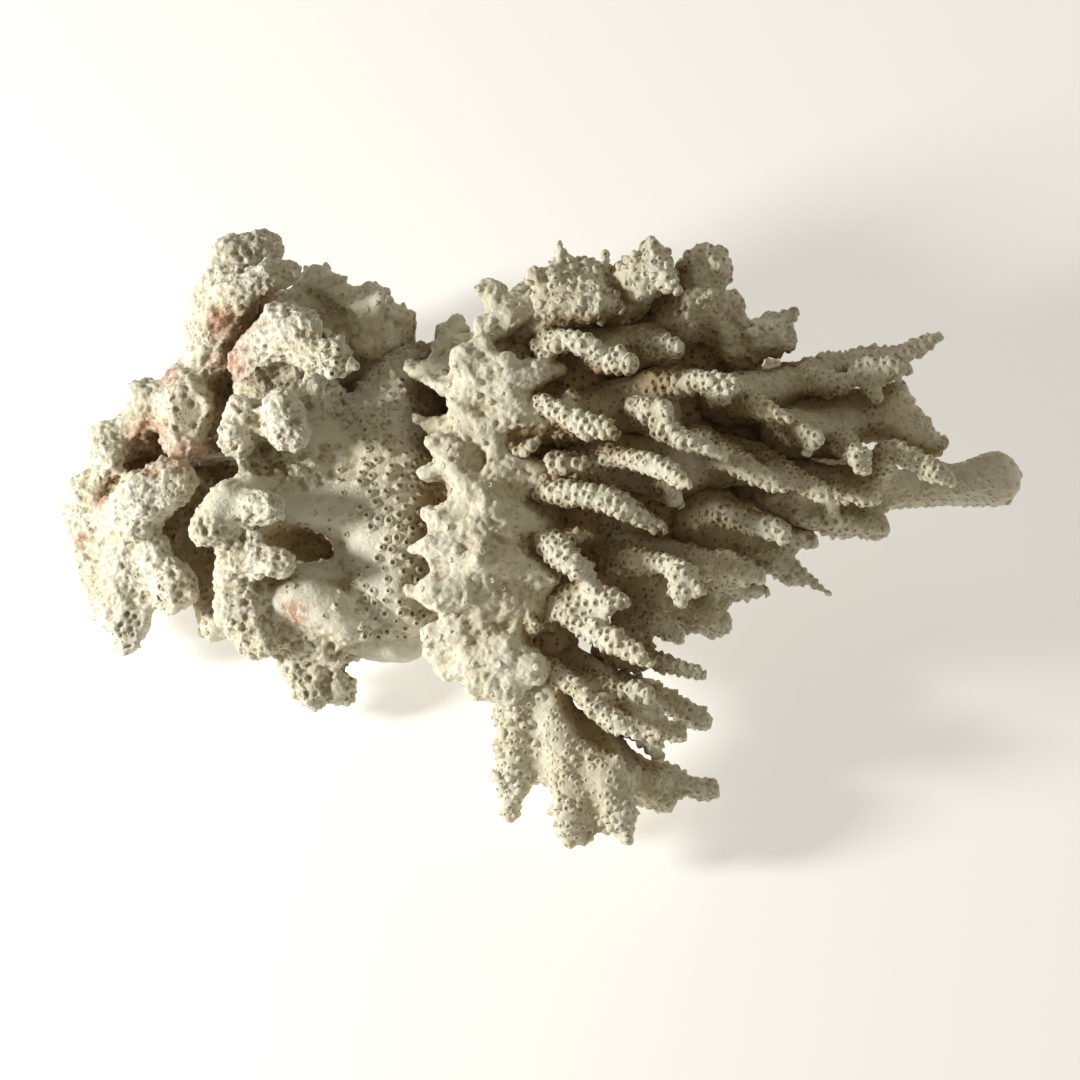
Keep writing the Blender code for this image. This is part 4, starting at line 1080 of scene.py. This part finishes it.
def setCups(piece, strokes, thin, others, seed):
    draw = random.Random(seed)
    skin = piece["tree"]
    spots = Spots(setting["least"])
    mesh = piece["object"].data
    depths = np.empty(len(mesh.vertices))
    mesh.attributes["recess"].data.foreach_get("value", depths)
    corner = [face.vertices[0] for face in mesh.polygons]

    def tryCup(origin, out, tipward, expected, lean, size, kind, least=None):
        hit, normal, face, _ = skin.ray_cast(origin, out, (expected + setting["deepest"]) * mm)
        if hit is None or normal.dot(out) < setting["facing"]:
            return
        if kind == "lowCup" and depths[corner[face]] > setting["deepFrom"]:
            kind, least, lean = "flushCup", setting["deepStep"], 0.0
        if not spots.free(hit, least) or buried(hit, normal, others):
            return
        if draw.random() < piece.get("missing", setting["missing"]):
            return
        size *= 1 + setting["vary"] * mathNoise.noise(hit / (setting["patch"] * mm))
        lean = math.radians(lean)
        flow = tipward - normal * tipward.dot(normal)
        if flow.length > 1e-4:
            flow.normalize()
        opening = (normal * math.cos(lean) + flow * math.sin(lean)).normalized()
        spots.add(hit, opening, tipward, size, kind)

    for stroke in strokes:
        if len(stroke) < 2:
            continue
        rings, tip, tipWay = stations(stroke)
        tipRadius = stroke[-1][3]
        side = tipWay.orthogonal().normalized()
        small = cupSize(tipRadius)
        thick = tipRadius > setting["thickFrom"]
        kind = "lowCup" if thick else "scaleCup"
        tryCup(tip, tipWay, side, slimmed(tipRadius, thin), 0.0, small * setting["tipSize"], kind)
        for turn in setting["tipTurns"][::-1]:
            lift = math.radians(turn)
            reach = slimmed(tipRadius, thin) + setting["tipOut"]
            count = max(4, round(2 * math.pi * reach * math.sin(lift) / setting["row"]))
            start = draw.uniform(0, 2 * math.pi)
            for k in range(count):
                around = start + 2 * math.pi * k / count
                flat = side * math.cos(around) + tipWay.cross(side) * math.sin(around)
                out = tipWay * math.cos(lift) + flat * math.sin(lift)
                size = small * draw.uniform(*setting["tipVary"])
                least = setting["thickTipLeast" if thick else "tipLeast"]
                tryCup(tip, out, tipWay, reach, setting["bodyLean"], size, kind, least)
        side = rings[0][1].orthogonal().normalized()
        for row, (place, way, radius) in enumerate(reversed(rings)):
            side = (side - way * side.dot(way)).normalized()
            across = way.cross(side)
            base = slimmed(radius, thin)
            thick = radius > setting["thickFrom"]
            step = setting["bodyStep"] if thick else setting["row"]
            count = max(4, round(2 * math.pi * (base + setting["rowOut"]) / step))
            small = cupSize(radius)
            for k in range(count):
                around = 2 * math.pi * (k + 0.5 * (row % 2) + draw.uniform(*setting["turnVary"])) / count
                out = side * math.cos(around) + across * math.sin(around)
                start = place + way * draw.uniform(*setting["alongVary"]) * mm
                if thick:
                    size = draw.uniform(*setting["bodyVary"])
                    least = setting["bodyStep"] * setting["bodyLeast"]
                    tryCup(start, out, way, base, setting["bodyLean"], size, "lowCup", least)
                else:
                    tooth = draw.random() < setting["teeth"]
                    lean = setting["toothLean" if tooth else "lean"] + draw.uniform(*setting["leanVary"])
                    kind = "toothCup" if tooth else "scaleCup"
                    tryCup(start, out, way, base, lean, small * draw.uniform(*setting["sizeVary"]), kind)
    return spots


def scatterCups(piece, spots, rules, others, seed):
    # cups that follow no row, over the part of a skin that a rule picks
    draw = random.Random(seed)
    mesh = piece["object"].data
    order = list(range(len(mesh.vertices)))
    draw.shuffle(order)
    for index in order:
        place = mesh.vertices[index].co
        offset = place / mm - Vector(board["middle"])
        across = offset.x
        up = offset.y * math.sin(board["lean"]) + offset.z * math.cos(board["lean"])
        toward = -offset.y * math.cos(board["lean"]) + offset.z * math.sin(board["lean"])
        for rule in rules:
            low, high = rule["from"], rule["to"]
            if not all(low[i] <= (across, up, toward)[i] <= high[i] for i in range(3)):
                continue
            if not spots.free(place, rule["apart"]):
                continue
            normal = mesh.vertices[index].normal.copy()
            if buried(place, normal, others):
                continue
            if draw.random() > rule.get("share", 1.0):
                # a bare place: no cup is planted here, and none comes near it
                spots.add(place.copy(), normal, boardWay(1, 0, 0), 0, None)
                continue
            flow = boardWay(*rule["flow"]).normalized()
            opening = (normal + flow * rule["pull"] * draw.uniform(*setting["pullVary"])).normalized()
            kind = rule["kinds"][draw.randrange(len(rule["kinds"]))]
            size = draw.uniform(*rule["size"])
            spots.add(place.copy(), opening, flow, size, kind)


def plant(piece, spots):
    thing = piece["object"]
    for kind, template in cups.items():
        chosen = [spot for spot in spots.found if spot[3] == kind]
        if not chosen:
            continue
        mesh = bpy.data.meshes.new("spots")
        mesh.from_pydata([spot[0] for spot in chosen], [], [])
        turns = mesh.attributes.new("turn", "QUATERNION", "POINT")
        turns.data.foreach_set("value", [c for spot in chosen for c in spot[1]])
        sizes = mesh.attributes.new("size", "FLOAT_VECTOR", "POINT")
        sizes.data.foreach_set("vector", [spot[2] * mm for spot in chosen for _ in range(3)])
        holder = bpy.data.objects.new("spots", mesh)
        bpy.context.scene.collection.objects.link(holder)
        template.data.materials.clear()
        template.data.materials.append(piece["material"])
        group = makePlanter(holder, template)
        finishWith(thing, "NODES", node_group=group)
        bpy.data.objects.remove(holder)
        bpy.data.node_groups.remove(group)
    return sum(spot[3] is not None for spot in spots.found)


# Finishes. Sizes are in millimetres, colours are linear.
# 'deep' takes the pores and the painted shade deep among the branches, which is partly the skeleton's own
# brown too; 'pit' and 'openPitShade' are painted shade inside the cups, deep among the branches and in the
# open, and 'pit' also colours the net of pores; 'stain' serves real stains and the painted shade in dips and
# holes.
finishes = {
    "worn_skeleton": {
        "pale": (0.81, 0.795, 0.69), "cream": (0.74, 0.70, 0.545), "stain": (0.42, 0.345, 0.21),
        "deep": (0.28, 0.18, 0.08),
        "pit": (0.24, 0.18, 0.10), "openPitShade": (0.38, 0.31, 0.19),
        "mottle": 0.5, "pores": 0.55, "poreApart": 1.1,
        "recessFrom": 0.26, "recessTo": 0.8, "bump": 0.85, "rough": 0.9,
    },
    "skeleton": {
        "pale": (0.83, 0.81, 0.69), "cream": (0.76, 0.715, 0.55), "stain": (0.50, 0.42, 0.27),
        "deep": (0.36, 0.255, 0.125),
        "pit": (0.25, 0.185, 0.10), "openPitShade": (0.44, 0.36, 0.22),
        "mottle": 0.25, "pores": 0.25, "poreApart": 0.9,
        "recessFrom": 0.22, "recessTo": 0.68, "bump": 0.6, "rough": 0.86,
    },
    "inner_skeleton": {
        "pale": (0.81, 0.785, 0.665), "cream": (0.74, 0.69, 0.53), "stain": (0.46, 0.37, 0.22),
        "deep": (0.38, 0.25, 0.11),
        "pit": (0.17, 0.105, 0.05), "openPitShade": (0.40, 0.32, 0.19),
        "mottle": 0.35, "pores": 0.35, "poreApart": 1.2,
        "recessFrom": 0.2, "recessTo": 0.6, "bump": 0.6, "rough": 0.9,
    },
}
# The net of open pores that covers the skin deep between the fingers
deepNet = {"apart": 2.1, "size": (0.2, 0.31), "recess": (0.3, 0.5), "share": 0.85}
pinkPatches = {
    "colour": (0.50, 0.245, 0.16), "flatten": 0.3, "fade": (0.3, 1.2), "noise": (1.6, 3),
    "broken": (0.34, 0.54), "share": 0.8,
    "spots": [  # across, up, toward, reach
        (-80, 55, -18, 6), (-77, 45, -20, 7), (-73, 53, -16, 5), (-67, 61, -12, 4), (-94, 42, -20, 4),
        (-99, 27, -20, 6), (-98, 19, -22, 7), (-88, 21, -16, 7), (-110, 10, -20, 3), (-61, -18, 0, 4),
        (-115, 0, -24, 2.5),
    ],
}


# What the finishes have in common: noises are (size, detail, roughness), pairs are (from, to)
mixing = {
    "specular": 0.25, "smoothed": 0.85, "slow": (16, 2), "middle": (4, 3), "fine": (0.9, 4, 0.65),
    "pore": (0.16, 0.36), "poreNoise": (7, 1), "poreWhere": (0.42, 0.58), "creamed": (0.35, 0.65),
    "stained": (0.5, 0.75), "stainShare": 0.35, "dotted": (0.52, 0.66), "hollowed": (0.04, 0.28),
    "hollowShare": 0.75, "crested": (-0.02, -0.2), "crestShare": 0.5, "recessShare": 0.85, "pitShare": 0.9,
    "pitShade": (0.1, 0.5), "holeShare": 0.55, "fineHeight": 0.7, "middleHeight": 0.6, "poreHeight": 0.6,
    "bumpReach": 0.8,
}


def mixColours(tree, factor, first, second):
    node = addNode(tree, "ShaderNodeMix", data_type="RGBA")
    if isinstance(factor, bpy.types.NodeSocket):
        tree.links.new(factor, node.inputs[0])
    else:
        node.inputs[0].default_value = factor
    for index, value in ((6, first), (7, second)):
        if isinstance(value, bpy.types.NodeSocket):
            tree.links.new(value, node.inputs[index])
        else:
            node.inputs[index].default_value = (*value, 1.0)
    return node.outputs[2]


def spread(tree, value, low, high, toLow=0.0, toHigh=1.0):
    node = addNode(
        tree, "ShaderNodeMapRange",
        {"Value": value, "From Min": low, "From Max": high, "To Min": toLow, "To Max": toHigh},
        interpolation_type="SMOOTHSTEP",
    )
    return node.outputs[0]


def coralFinish(slot, look):
    material = bpy.data.materials.new(slot)
    material.use_nodes = True
    tree = material.node_tree
    shader = tree.nodes["Principled BSDF"]
    shader.inputs["Roughness"].default_value = look["rough"]
    shader.inputs["Specular IOR Level"].default_value = mixing["specular"]
    place = addNode(tree, "ShaderNodeTexCoord").outputs["Object"]
    place = addNode(tree, "ShaderNodeMapping", {"Vector": place, "Scale": (1 / mm,) * 3}).outputs[0]

    def noise(size, detail, roughness=0.55):
        node = addNode(tree, "ShaderNodeTexNoise",
                       {"Vector": place, "Scale": 1 / size, "Detail": detail, "Roughness": roughness})
        return node.outputs["Fac"]

    def attribute(name):
        return addNode(tree, "ShaderNodeAttribute", attribute_name=name).outputs["Fac"]

    def times(a, b):
        return doMath(tree, "MULTIPLY", a, b)

    worn = doMath(tree, "SUBTRACT", 1.0, times(attribute("smoothness"), mixing["smoothed"]))
    slow, middle, fine = noise(*mixing["slow"]), noise(*mixing["middle"]), noise(*mixing["fine"])
    pores = addNode(tree, "ShaderNodeTexVoronoi", {"Vector": place, "Scale": 1 / look["poreApart"]})
    pores = spread(tree, pores.outputs["Distance"], *mixing["pore"], 1.0, 0.0)
    where = spread(tree, noise(*mixing["poreNoise"]), *mixing["poreWhere"])
    pores = times(times(pores, where), worn)

    colour = mixColours(tree, spread(tree, slow, *mixing["creamed"]), look["pale"], look["cream"])
    stains = times(spread(tree, middle, *mixing["stained"]), mixing["stainShare"])
    colour = mixColours(tree, stains, colour, look["stain"])
    dots = times(times(spread(tree, fine, *mixing["dotted"]), worn), look["mottle"])
    colour = mixColours(tree, dots, colour, look["stain"])
    colour = mixColours(tree, times(pores, look["pores"]), colour, look["deep"])
    # Painted shade in creases: dips in the skin are darkened toward the stain-and-shade colour, and crests
    # are made paler
    hollow = attribute("hollow")
    dips = times(spread(tree, hollow, *mixing["hollowed"]), mixing["hollowShare"])
    colour = mixColours(tree, dips, colour, look["stain"])
    crests = times(spread(tree, hollow, *mixing["crested"]), mixing["crestShare"])
    colour = mixColours(tree, crests, colour, look["pale"])
    if slot == "worn_skeleton":
        # patches are measured on the board, and reach further in and out of it than across it
        offset = vectorMath(tree, "SUBTRACT", place, board["middle"])
        flatten = pinkPatches["flatten"]
        laid = addNode(tree, "ShaderNodeCombineXYZ", {
            "X": vectorMath(tree, "DOT_PRODUCT", offset, boardWay(1, 0, 0), 1),
            "Y": vectorMath(tree, "DOT_PRODUCT", offset, boardWay(0, 1, 0), 1),
            "Z": vectorMath(tree, "DOT_PRODUCT", offset, boardWay(0, 0, flatten), 1),
        }).outputs[0]
        pink = None
        for across, up, toward, reach in pinkPatches["spots"]:
            away = vectorMath(tree, "DISTANCE", laid, (across, up, toward * flatten), 1)
            ring = spread(tree, away, *(reach * share for share in pinkPatches["fade"]), 1.0, 0.0)
            pink = ring if pink is None else doMath(tree, "MAXIMUM", pink, ring)
        pink = times(pink, spread(tree, noise(*pinkPatches["noise"]), *pinkPatches["broken"]))
        colour = mixColours(tree, times(pink, pinkPatches["share"]), colour, pinkPatches["colour"])
    # Painted shade, partly the skeleton's own brown: skin deep among the branches, by its recess reading, is
    # darkened toward the deep colour
    recess = spread(tree, attribute("recess"), look["recessFrom"], look["recessTo"])
    colour = mixColours(tree, times(recess, mixing["recessShare"]), colour, look["deep"])
    net = addNode(tree, "ShaderNodeTexVoronoi", {"Vector": place, "Scale": 1 / deepNet["apart"]})
    net = spread(tree, net.outputs["Distance"], *deepNet["size"], 1.0, 0.0)
    net = times(net, spread(tree, attribute("recess"), *deepNet["recess"]))
    colour = mixColours(tree, times(net, deepNet["share"]), colour, look["pit"])
    # Painted shade inside the cups, darker deep among the branches
    pit = times(attribute("pit"), mixing["pitShare"])
    shade = spread(tree, attribute("recess"), *mixing["pitShade"])
    colour = mixColours(tree, pit, colour, mixColours(tree, shade, look["openPitShade"], look["pit"]))
    # Painted shade in the holes of the breaks, darker where they go deeper
    colour = mixColours(tree, times(attribute("hole"), mixing["holeShare"]), colour, look["stain"])
    tree.links.new(colour, shader.inputs["Base Color"])

    height = doMath(tree, "ADD", times(fine, mixing["fineHeight"]), times(middle, mixing["middleHeight"]))
    height = doMath(tree, "SUBTRACT", height, times(pores, look["pores"] * mixing["poreHeight"]))
    height = doMath(tree, "SUBTRACT", height, net)
    bump = addNode(
        tree, "ShaderNodeBump",
        {"Height": height, "Strength": look["bump"], "Distance": mixing["bumpReach"] * mm},
    )
    tree.links.new(bump.outputs[0], shader.inputs["Normal"])
    return material


materials = {slot: coralFinish(slot, look) for slot, look in finishes.items()}
print("finishes mixed")

# Pieces that are fused from several limbs. Old lobes share one kind of wear.
oldWear = {"pit": 0.9, "fray": 1.1, "finePit": 0.35, "grain": 0.35}
fused = [
    {"name": "leftLobes", "slot": "worn_skeleton", "thin": -0.2, "grain": 0.44, "web": 1.4,
     "limbs": ["top_left_lobe", "broken_lobe", "far_left_lobe", "centre_left_lobe", "lower_left_lobe"],
     "relief": {"swell": 1.6, "crease": 1.8, **oldWear}, "broken": True, "hollowed": True},
    {"name": "stalkAndArms", "slot": "worn_skeleton", "thin": -0.1, "grain": 0.48, "web": 1.7, "kept": 0.64,
     "limbs": ["stalk", "upper_left_arm", "middle_left_arm", "central_arm", "lower_arm", "lower_middle_arm"],
     "smooth": ["stalk"],
     "bare": [[(-60, -14, -1, 7), (-49, -17, -1, 6.4)], [(-80, 9, 8, 4), (-72, 12, 4, 4)]],
     "relief": {"swell": 1.9, "lump": 1.0, "fray": 0.25},
     "wear": {"crease": 1.9, **oldWear}, "broken": True, "hollowed": True},
    {"name": "backLobes", "slot": "skeleton", "thin": 0.4, "grain": 0.76, "web": 1.6,
     "limbs": ["top_back_lobes", "left_back_arm", "back_left_lobe"],
     "relief": {"swell": 1.6, "lump": 0.6, "crease": 1.7, "fray": 0.9, "pit": 0.5}, "hollowed": True},
    {"name": "crownHeart", "slot": "inner_skeleton", "thin": -2.0, "grain": 1.0, "web": 2.0,
     "limbs": ["crown"], "relief": {"swell": 2.4, "lump": 1.3, "crease": 2.2, "fray": 1.0, "pit": 0.4}},
    {"name": "rim", "slot": "skeleton", "thin": -0.1, "grain": 0.48, "web": 1.2,
     "limbs": ["rim_top", "rim_middle", "rim_bottom"],
     "relief": {"swell": 1.2, "lump": 0.8, "crease": 2.0, "fray": 0.8, "pit": 0.35, "grain": 0.2}},
    {"name": "underside", "slot": "inner_skeleton", "thin": 0.0, "grain": 1.0, "web": 0,
     "limbs": ["base"], "relief": {"swell": 1.2, "lump": 0.6, "crease": 1.4, "fray": 0.6, "grain": 0.3}},
]
fingered = [name for name in limbs if not any(name in piece["limbs"] for piece in fused)]
fingering = {
    "thin": 1.05, "grain": 0.7, "web": 1.3,
    "relief": {"swell": 0.9, "lump": 0.5, "crease": 0.7, "fray": 0.45},
}
palm = {"thin": 0.4, "web": 2.4, "grain": 0.62}
crusted = {
    "thin": 0.9, "grain": 0.56, "missing": 0.4,
    "relief": {"swell": 1.2, "lump": 0.6, "crease": 2.0, "fray": 1.3, "pit": 0.4},
}

print("modelling", len(fused), "fused pieces and", len(fingered), "branches")
pieces = []
for plan in fused:
    strokes = [stroke for name in plan["limbs"] for stroke in rooted(limbs[name])]
    pieces.append({**plan, "strokes": strokes})
for name in fingered:
    words = name.split("_")
    pieces.append({
        "name": words[0] + "".join(word.capitalize() for word in words[1:]),
        "slot": "skeleton", "limbs": [name], "fingers": True,
        "strokes": sprouted(rooted(limbs[name]), len(pieces)),
        **fingering,
        **(crusted if name.startswith("top_") else {}),
        **(palm if name == "bottom_branch" else {}),
    })

for number, piece in enumerate(pieces):
    thing = modelStrokes(piece["name"], piece["strokes"], piece["thin"], piece["grain"], piece["web"])
    keepLargest(thing)
    markWorn(thing, piece)
    roughen(thing, piece["relief"])
    roughen(thing, piece.get("wear", {}), "worn")
    if piece["name"] == "underside":
        planeCut(thing)
    if piece.get("broken"):
        breakFaces(thing, number)
    if piece.get("hollowed"):
        pushHollows(thing)
    if piece.get("kept"):
        finishWith(thing, "DECIMATE", ratio=piece["kept"])
    # Only the underside reaches the floor, so this comes after everything that moves the skin
    if piece["name"] != "underside":
        places = points(thing)
        places[:, 2] = np.maximum(places[:, 2], cutFace["above"] * mm)
        movePoints(thing, places)
    thing.data.materials.clear()
    piece["material"] = materials[piece["slot"]]
    thing.data.materials.append(piece["material"])
    pick(thing)
    bpy.ops.object.shade_smooth()
    piece["object"] = thing
    places = points(thing)
    piece["low"], piece["high"] = places.min(axis=0), places.max(axis=0)
    piece["tree"] = BVHTree.FromPolygons(
        [vertex.co for vertex in thing.data.vertices],
        [tuple(face.vertices) for face in thing.data.polygons],
    )
print("skins modelled")

# A light stand-in of the whole colony, which the depth reading looks at and which is then removed
corners, facesOf = [], []
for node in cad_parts.values():
    first = len(corners)
    corners += [vertex.co[:] for vertex in node.data.vertices]
    facesOf += [[first + i for i in face.vertices] for face in node.data.polygons]
standInMesh = bpy.data.meshes.new("standIn")
standInMesh.from_pydata(corners, [], facesOf)
standIn = bpy.data.objects.new("standIn", standInMesh)
bpy.context.scene.collection.objects.link(standIn)
reader = makeReader(standIn)
for piece in pieces:
    finishWith(piece["object"], "NODES", node_group=reader)
    if piece.get("hollowed"):
        shadeHollows(piece["object"])
print("depths read")

scatterings = {
    "stalkAndArms": [
        {"from": (-54, 31, -60), "to": (-20, 66, 20), "apart": 3.0,
         "kinds": ["tallCup", "tallCup", "ringCup"],
         "size": (0.85, 1.45), "flow": (0.4, 0.9, 0.3), "pull": 0.4, "share": 0.85},
        {"from": (-45, -24, -60), "to": (-22, 31, 20), "apart": 2.5,
         "kinds": ["ringCup"] * 5 + ["tallCup"],
         "size": (0.8, 1.3), "flow": (0.5, 0.8, 0.2), "pull": 0.22, "share": 0.9},
        {"from": (-54, -20, -60), "to": (-45, 66, 20), "apart": 3.0, "kinds": ["lowCup", "ringCup"],
         "size": (0.6, 0.95), "flow": (0.5, 0.8, 0.2), "pull": 0.2, "share": 0.6},
        {"from": (-66, -40, -60), "to": (-53, 45, 20), "apart": 4.5, "kinds": ["flushCup"],
         "size": (0.6, 0.8), "flow": (-0.5, 0.3, 0.2), "pull": 0.2, "share": 0.6},
    ],
    "rim": [
        {"from": (-60, -60, -60), "to": (20, 80, 40), "apart": 3.2,
         "kinds": ["lowCup", "flushCup", "toothCup"],
         "size": (0.55, 1.0), "flow": (-0.6, 0.2, 0.5), "pull": 0.3, "share": 0.42},
    ],
    "crownHeart": [
        {"from": (-60, -60, -90), "to": (90, 80, 40), "apart": 2.9,
         "kinds": ["flushCup", "lowCup", "flushCup", "ringCup"],
         "size": (0.7, 1.05), "flow": (0.8, 0.0, 0.3), "pull": 0.3, "share": 0.85},
    ],
    "backLobes": [
        {"from": (-110, -60, -90), "to": (90, 80, 40), "apart": 2.5,
         "kinds": ["lowCup", "flushCup", "scaleCup", "toothCup"],
         "size": (0.65, 1.05), "flow": (-0.6, 0.2, -0.5), "pull": 0.3, "share": 0.75},
    ],
}

planted = 0
for number, piece in enumerate(pieces):
    others = [(other["low"], other["high"], other["tree"]) for other in pieces if other is not piece]
    if piece.get("fingers"):
        spots = setCups(piece, piece["strokes"], piece["thin"], others, 100 + number)
    else:
        spots = Spots(setting["least"])
    if piece["name"] in scatterings:
        scatterCups(piece, spots, scatterings[piece["name"]], others, 200 + number)
    planted += plant(piece, spots)
print("cups set:", planted)

for scratch in [standIn, *cups.values()]:
    bpy.data.objects.remove(scratch)

triangles = 0
for piece in pieces:
    thing = piece["object"]
    count = sum(len(face.vertices) - 2 for face in thing.data.polygons)
    triangles += count
    print("  ", piece["name"], count)
    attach(thing, "root")
    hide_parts(*piece["limbs"])
print("triangles in all:", triangles)

# Floor, lights and camera
stage = {
    "floorSize": 6.0, "floorColour": (0.88, 0.87, 0.85), "floorGlow": 0.5, "floorRough": 0.9,
    "worldColour": (1.0, 0.88, 0.65), "worldStrength": 0.23,
    "keyFrom": (-1.0, 0.03, 0.38), "keyAway": 0.65, "keySize": 0.11, "keyPower": 4.5,
    "keyColour": (1.0, 0.98, 0.93),
    "fillFrom": (0.2, 1.0, 0.6), "fillAway": 1.6, "fillSize": 1.2, "fillPower": 1.0,
    "fillColour": (0.92, 0.95, 1.0),
    "backFrom": (1.0, 0.6, -0.35), "backAway": 1.2, "backSize": 0.8, "backPower": 1.6,
    "backColour": (1.0, 0.97, 0.92),
}
deselectAll()
bpy.ops.mesh.primitive_grid_add(x_subdivisions=8, y_subdivisions=8, size=stage["floorSize"])
floor = bpy.context.object
floor.name = "floor"
floorMaterial = bpy.data.materials.new("paleFloor")
floorMaterial.use_nodes = True
floorShader = floorMaterial.node_tree.nodes["Principled BSDF"]
floorShader.inputs["Base Color"].default_value = (*stage["floorColour"], 1.0)
floorShader.inputs["Roughness"].default_value = stage["floorRough"]
floorShader.inputs["Emission Color"].default_value = (*stage["floorColour"], 1.0)
floorShader.inputs["Emission Strength"].default_value = stage["floorGlow"]
floor.data.materials.append(floorMaterial)

world = bpy.data.worlds.new("studio")
bpy.context.scene.world = world
world.use_nodes = True
background = world.node_tree.nodes["Background"]
background.inputs["Color"].default_value = (*stage["worldColour"], 1.0)
background.inputs["Strength"].default_value = stage["worldStrength"]

middle = onBoard(0, 0, 0)
for name in ("key", "fill", "back"):
    way = boardWay(*stage[name + "From"]).normalized()
    place = middle + way * stage[name + "Away"]
    bpy.ops.object.light_add(type="AREA", location=place, rotation=way.to_track_quat("Z", "Y").to_euler())
    light = bpy.context.object
    light.name = name
    light.data.shape = "DISK"
    light.data.size = stage[name + "Size"]
    light.data.energy = stage[name + "Power"]
    light.data.color = stage[name + "Colour"]
    light.visible_camera = False

viewing = {"away": 4.0, "across": 0.270, "sensor": 36.0, "clip": (0.1, 20.0)}
outward = boardWay(0, 0, 1)
bpy.ops.object.camera_add(
    location=middle + outward * viewing["away"], rotation=outward.to_track_quat("Z", "Y").to_euler()
)
camera = bpy.context.object
camera.name = "camera"
camera.data.sensor_width = viewing["sensor"]
camera.data.lens = viewing["sensor"] * viewing["away"] / viewing["across"]
camera.data.clip_start, camera.data.clip_end = viewing["clip"]
bpy.context.scene.camera = camera
bpy.context.scene.view_settings.view_transform = "Standard"
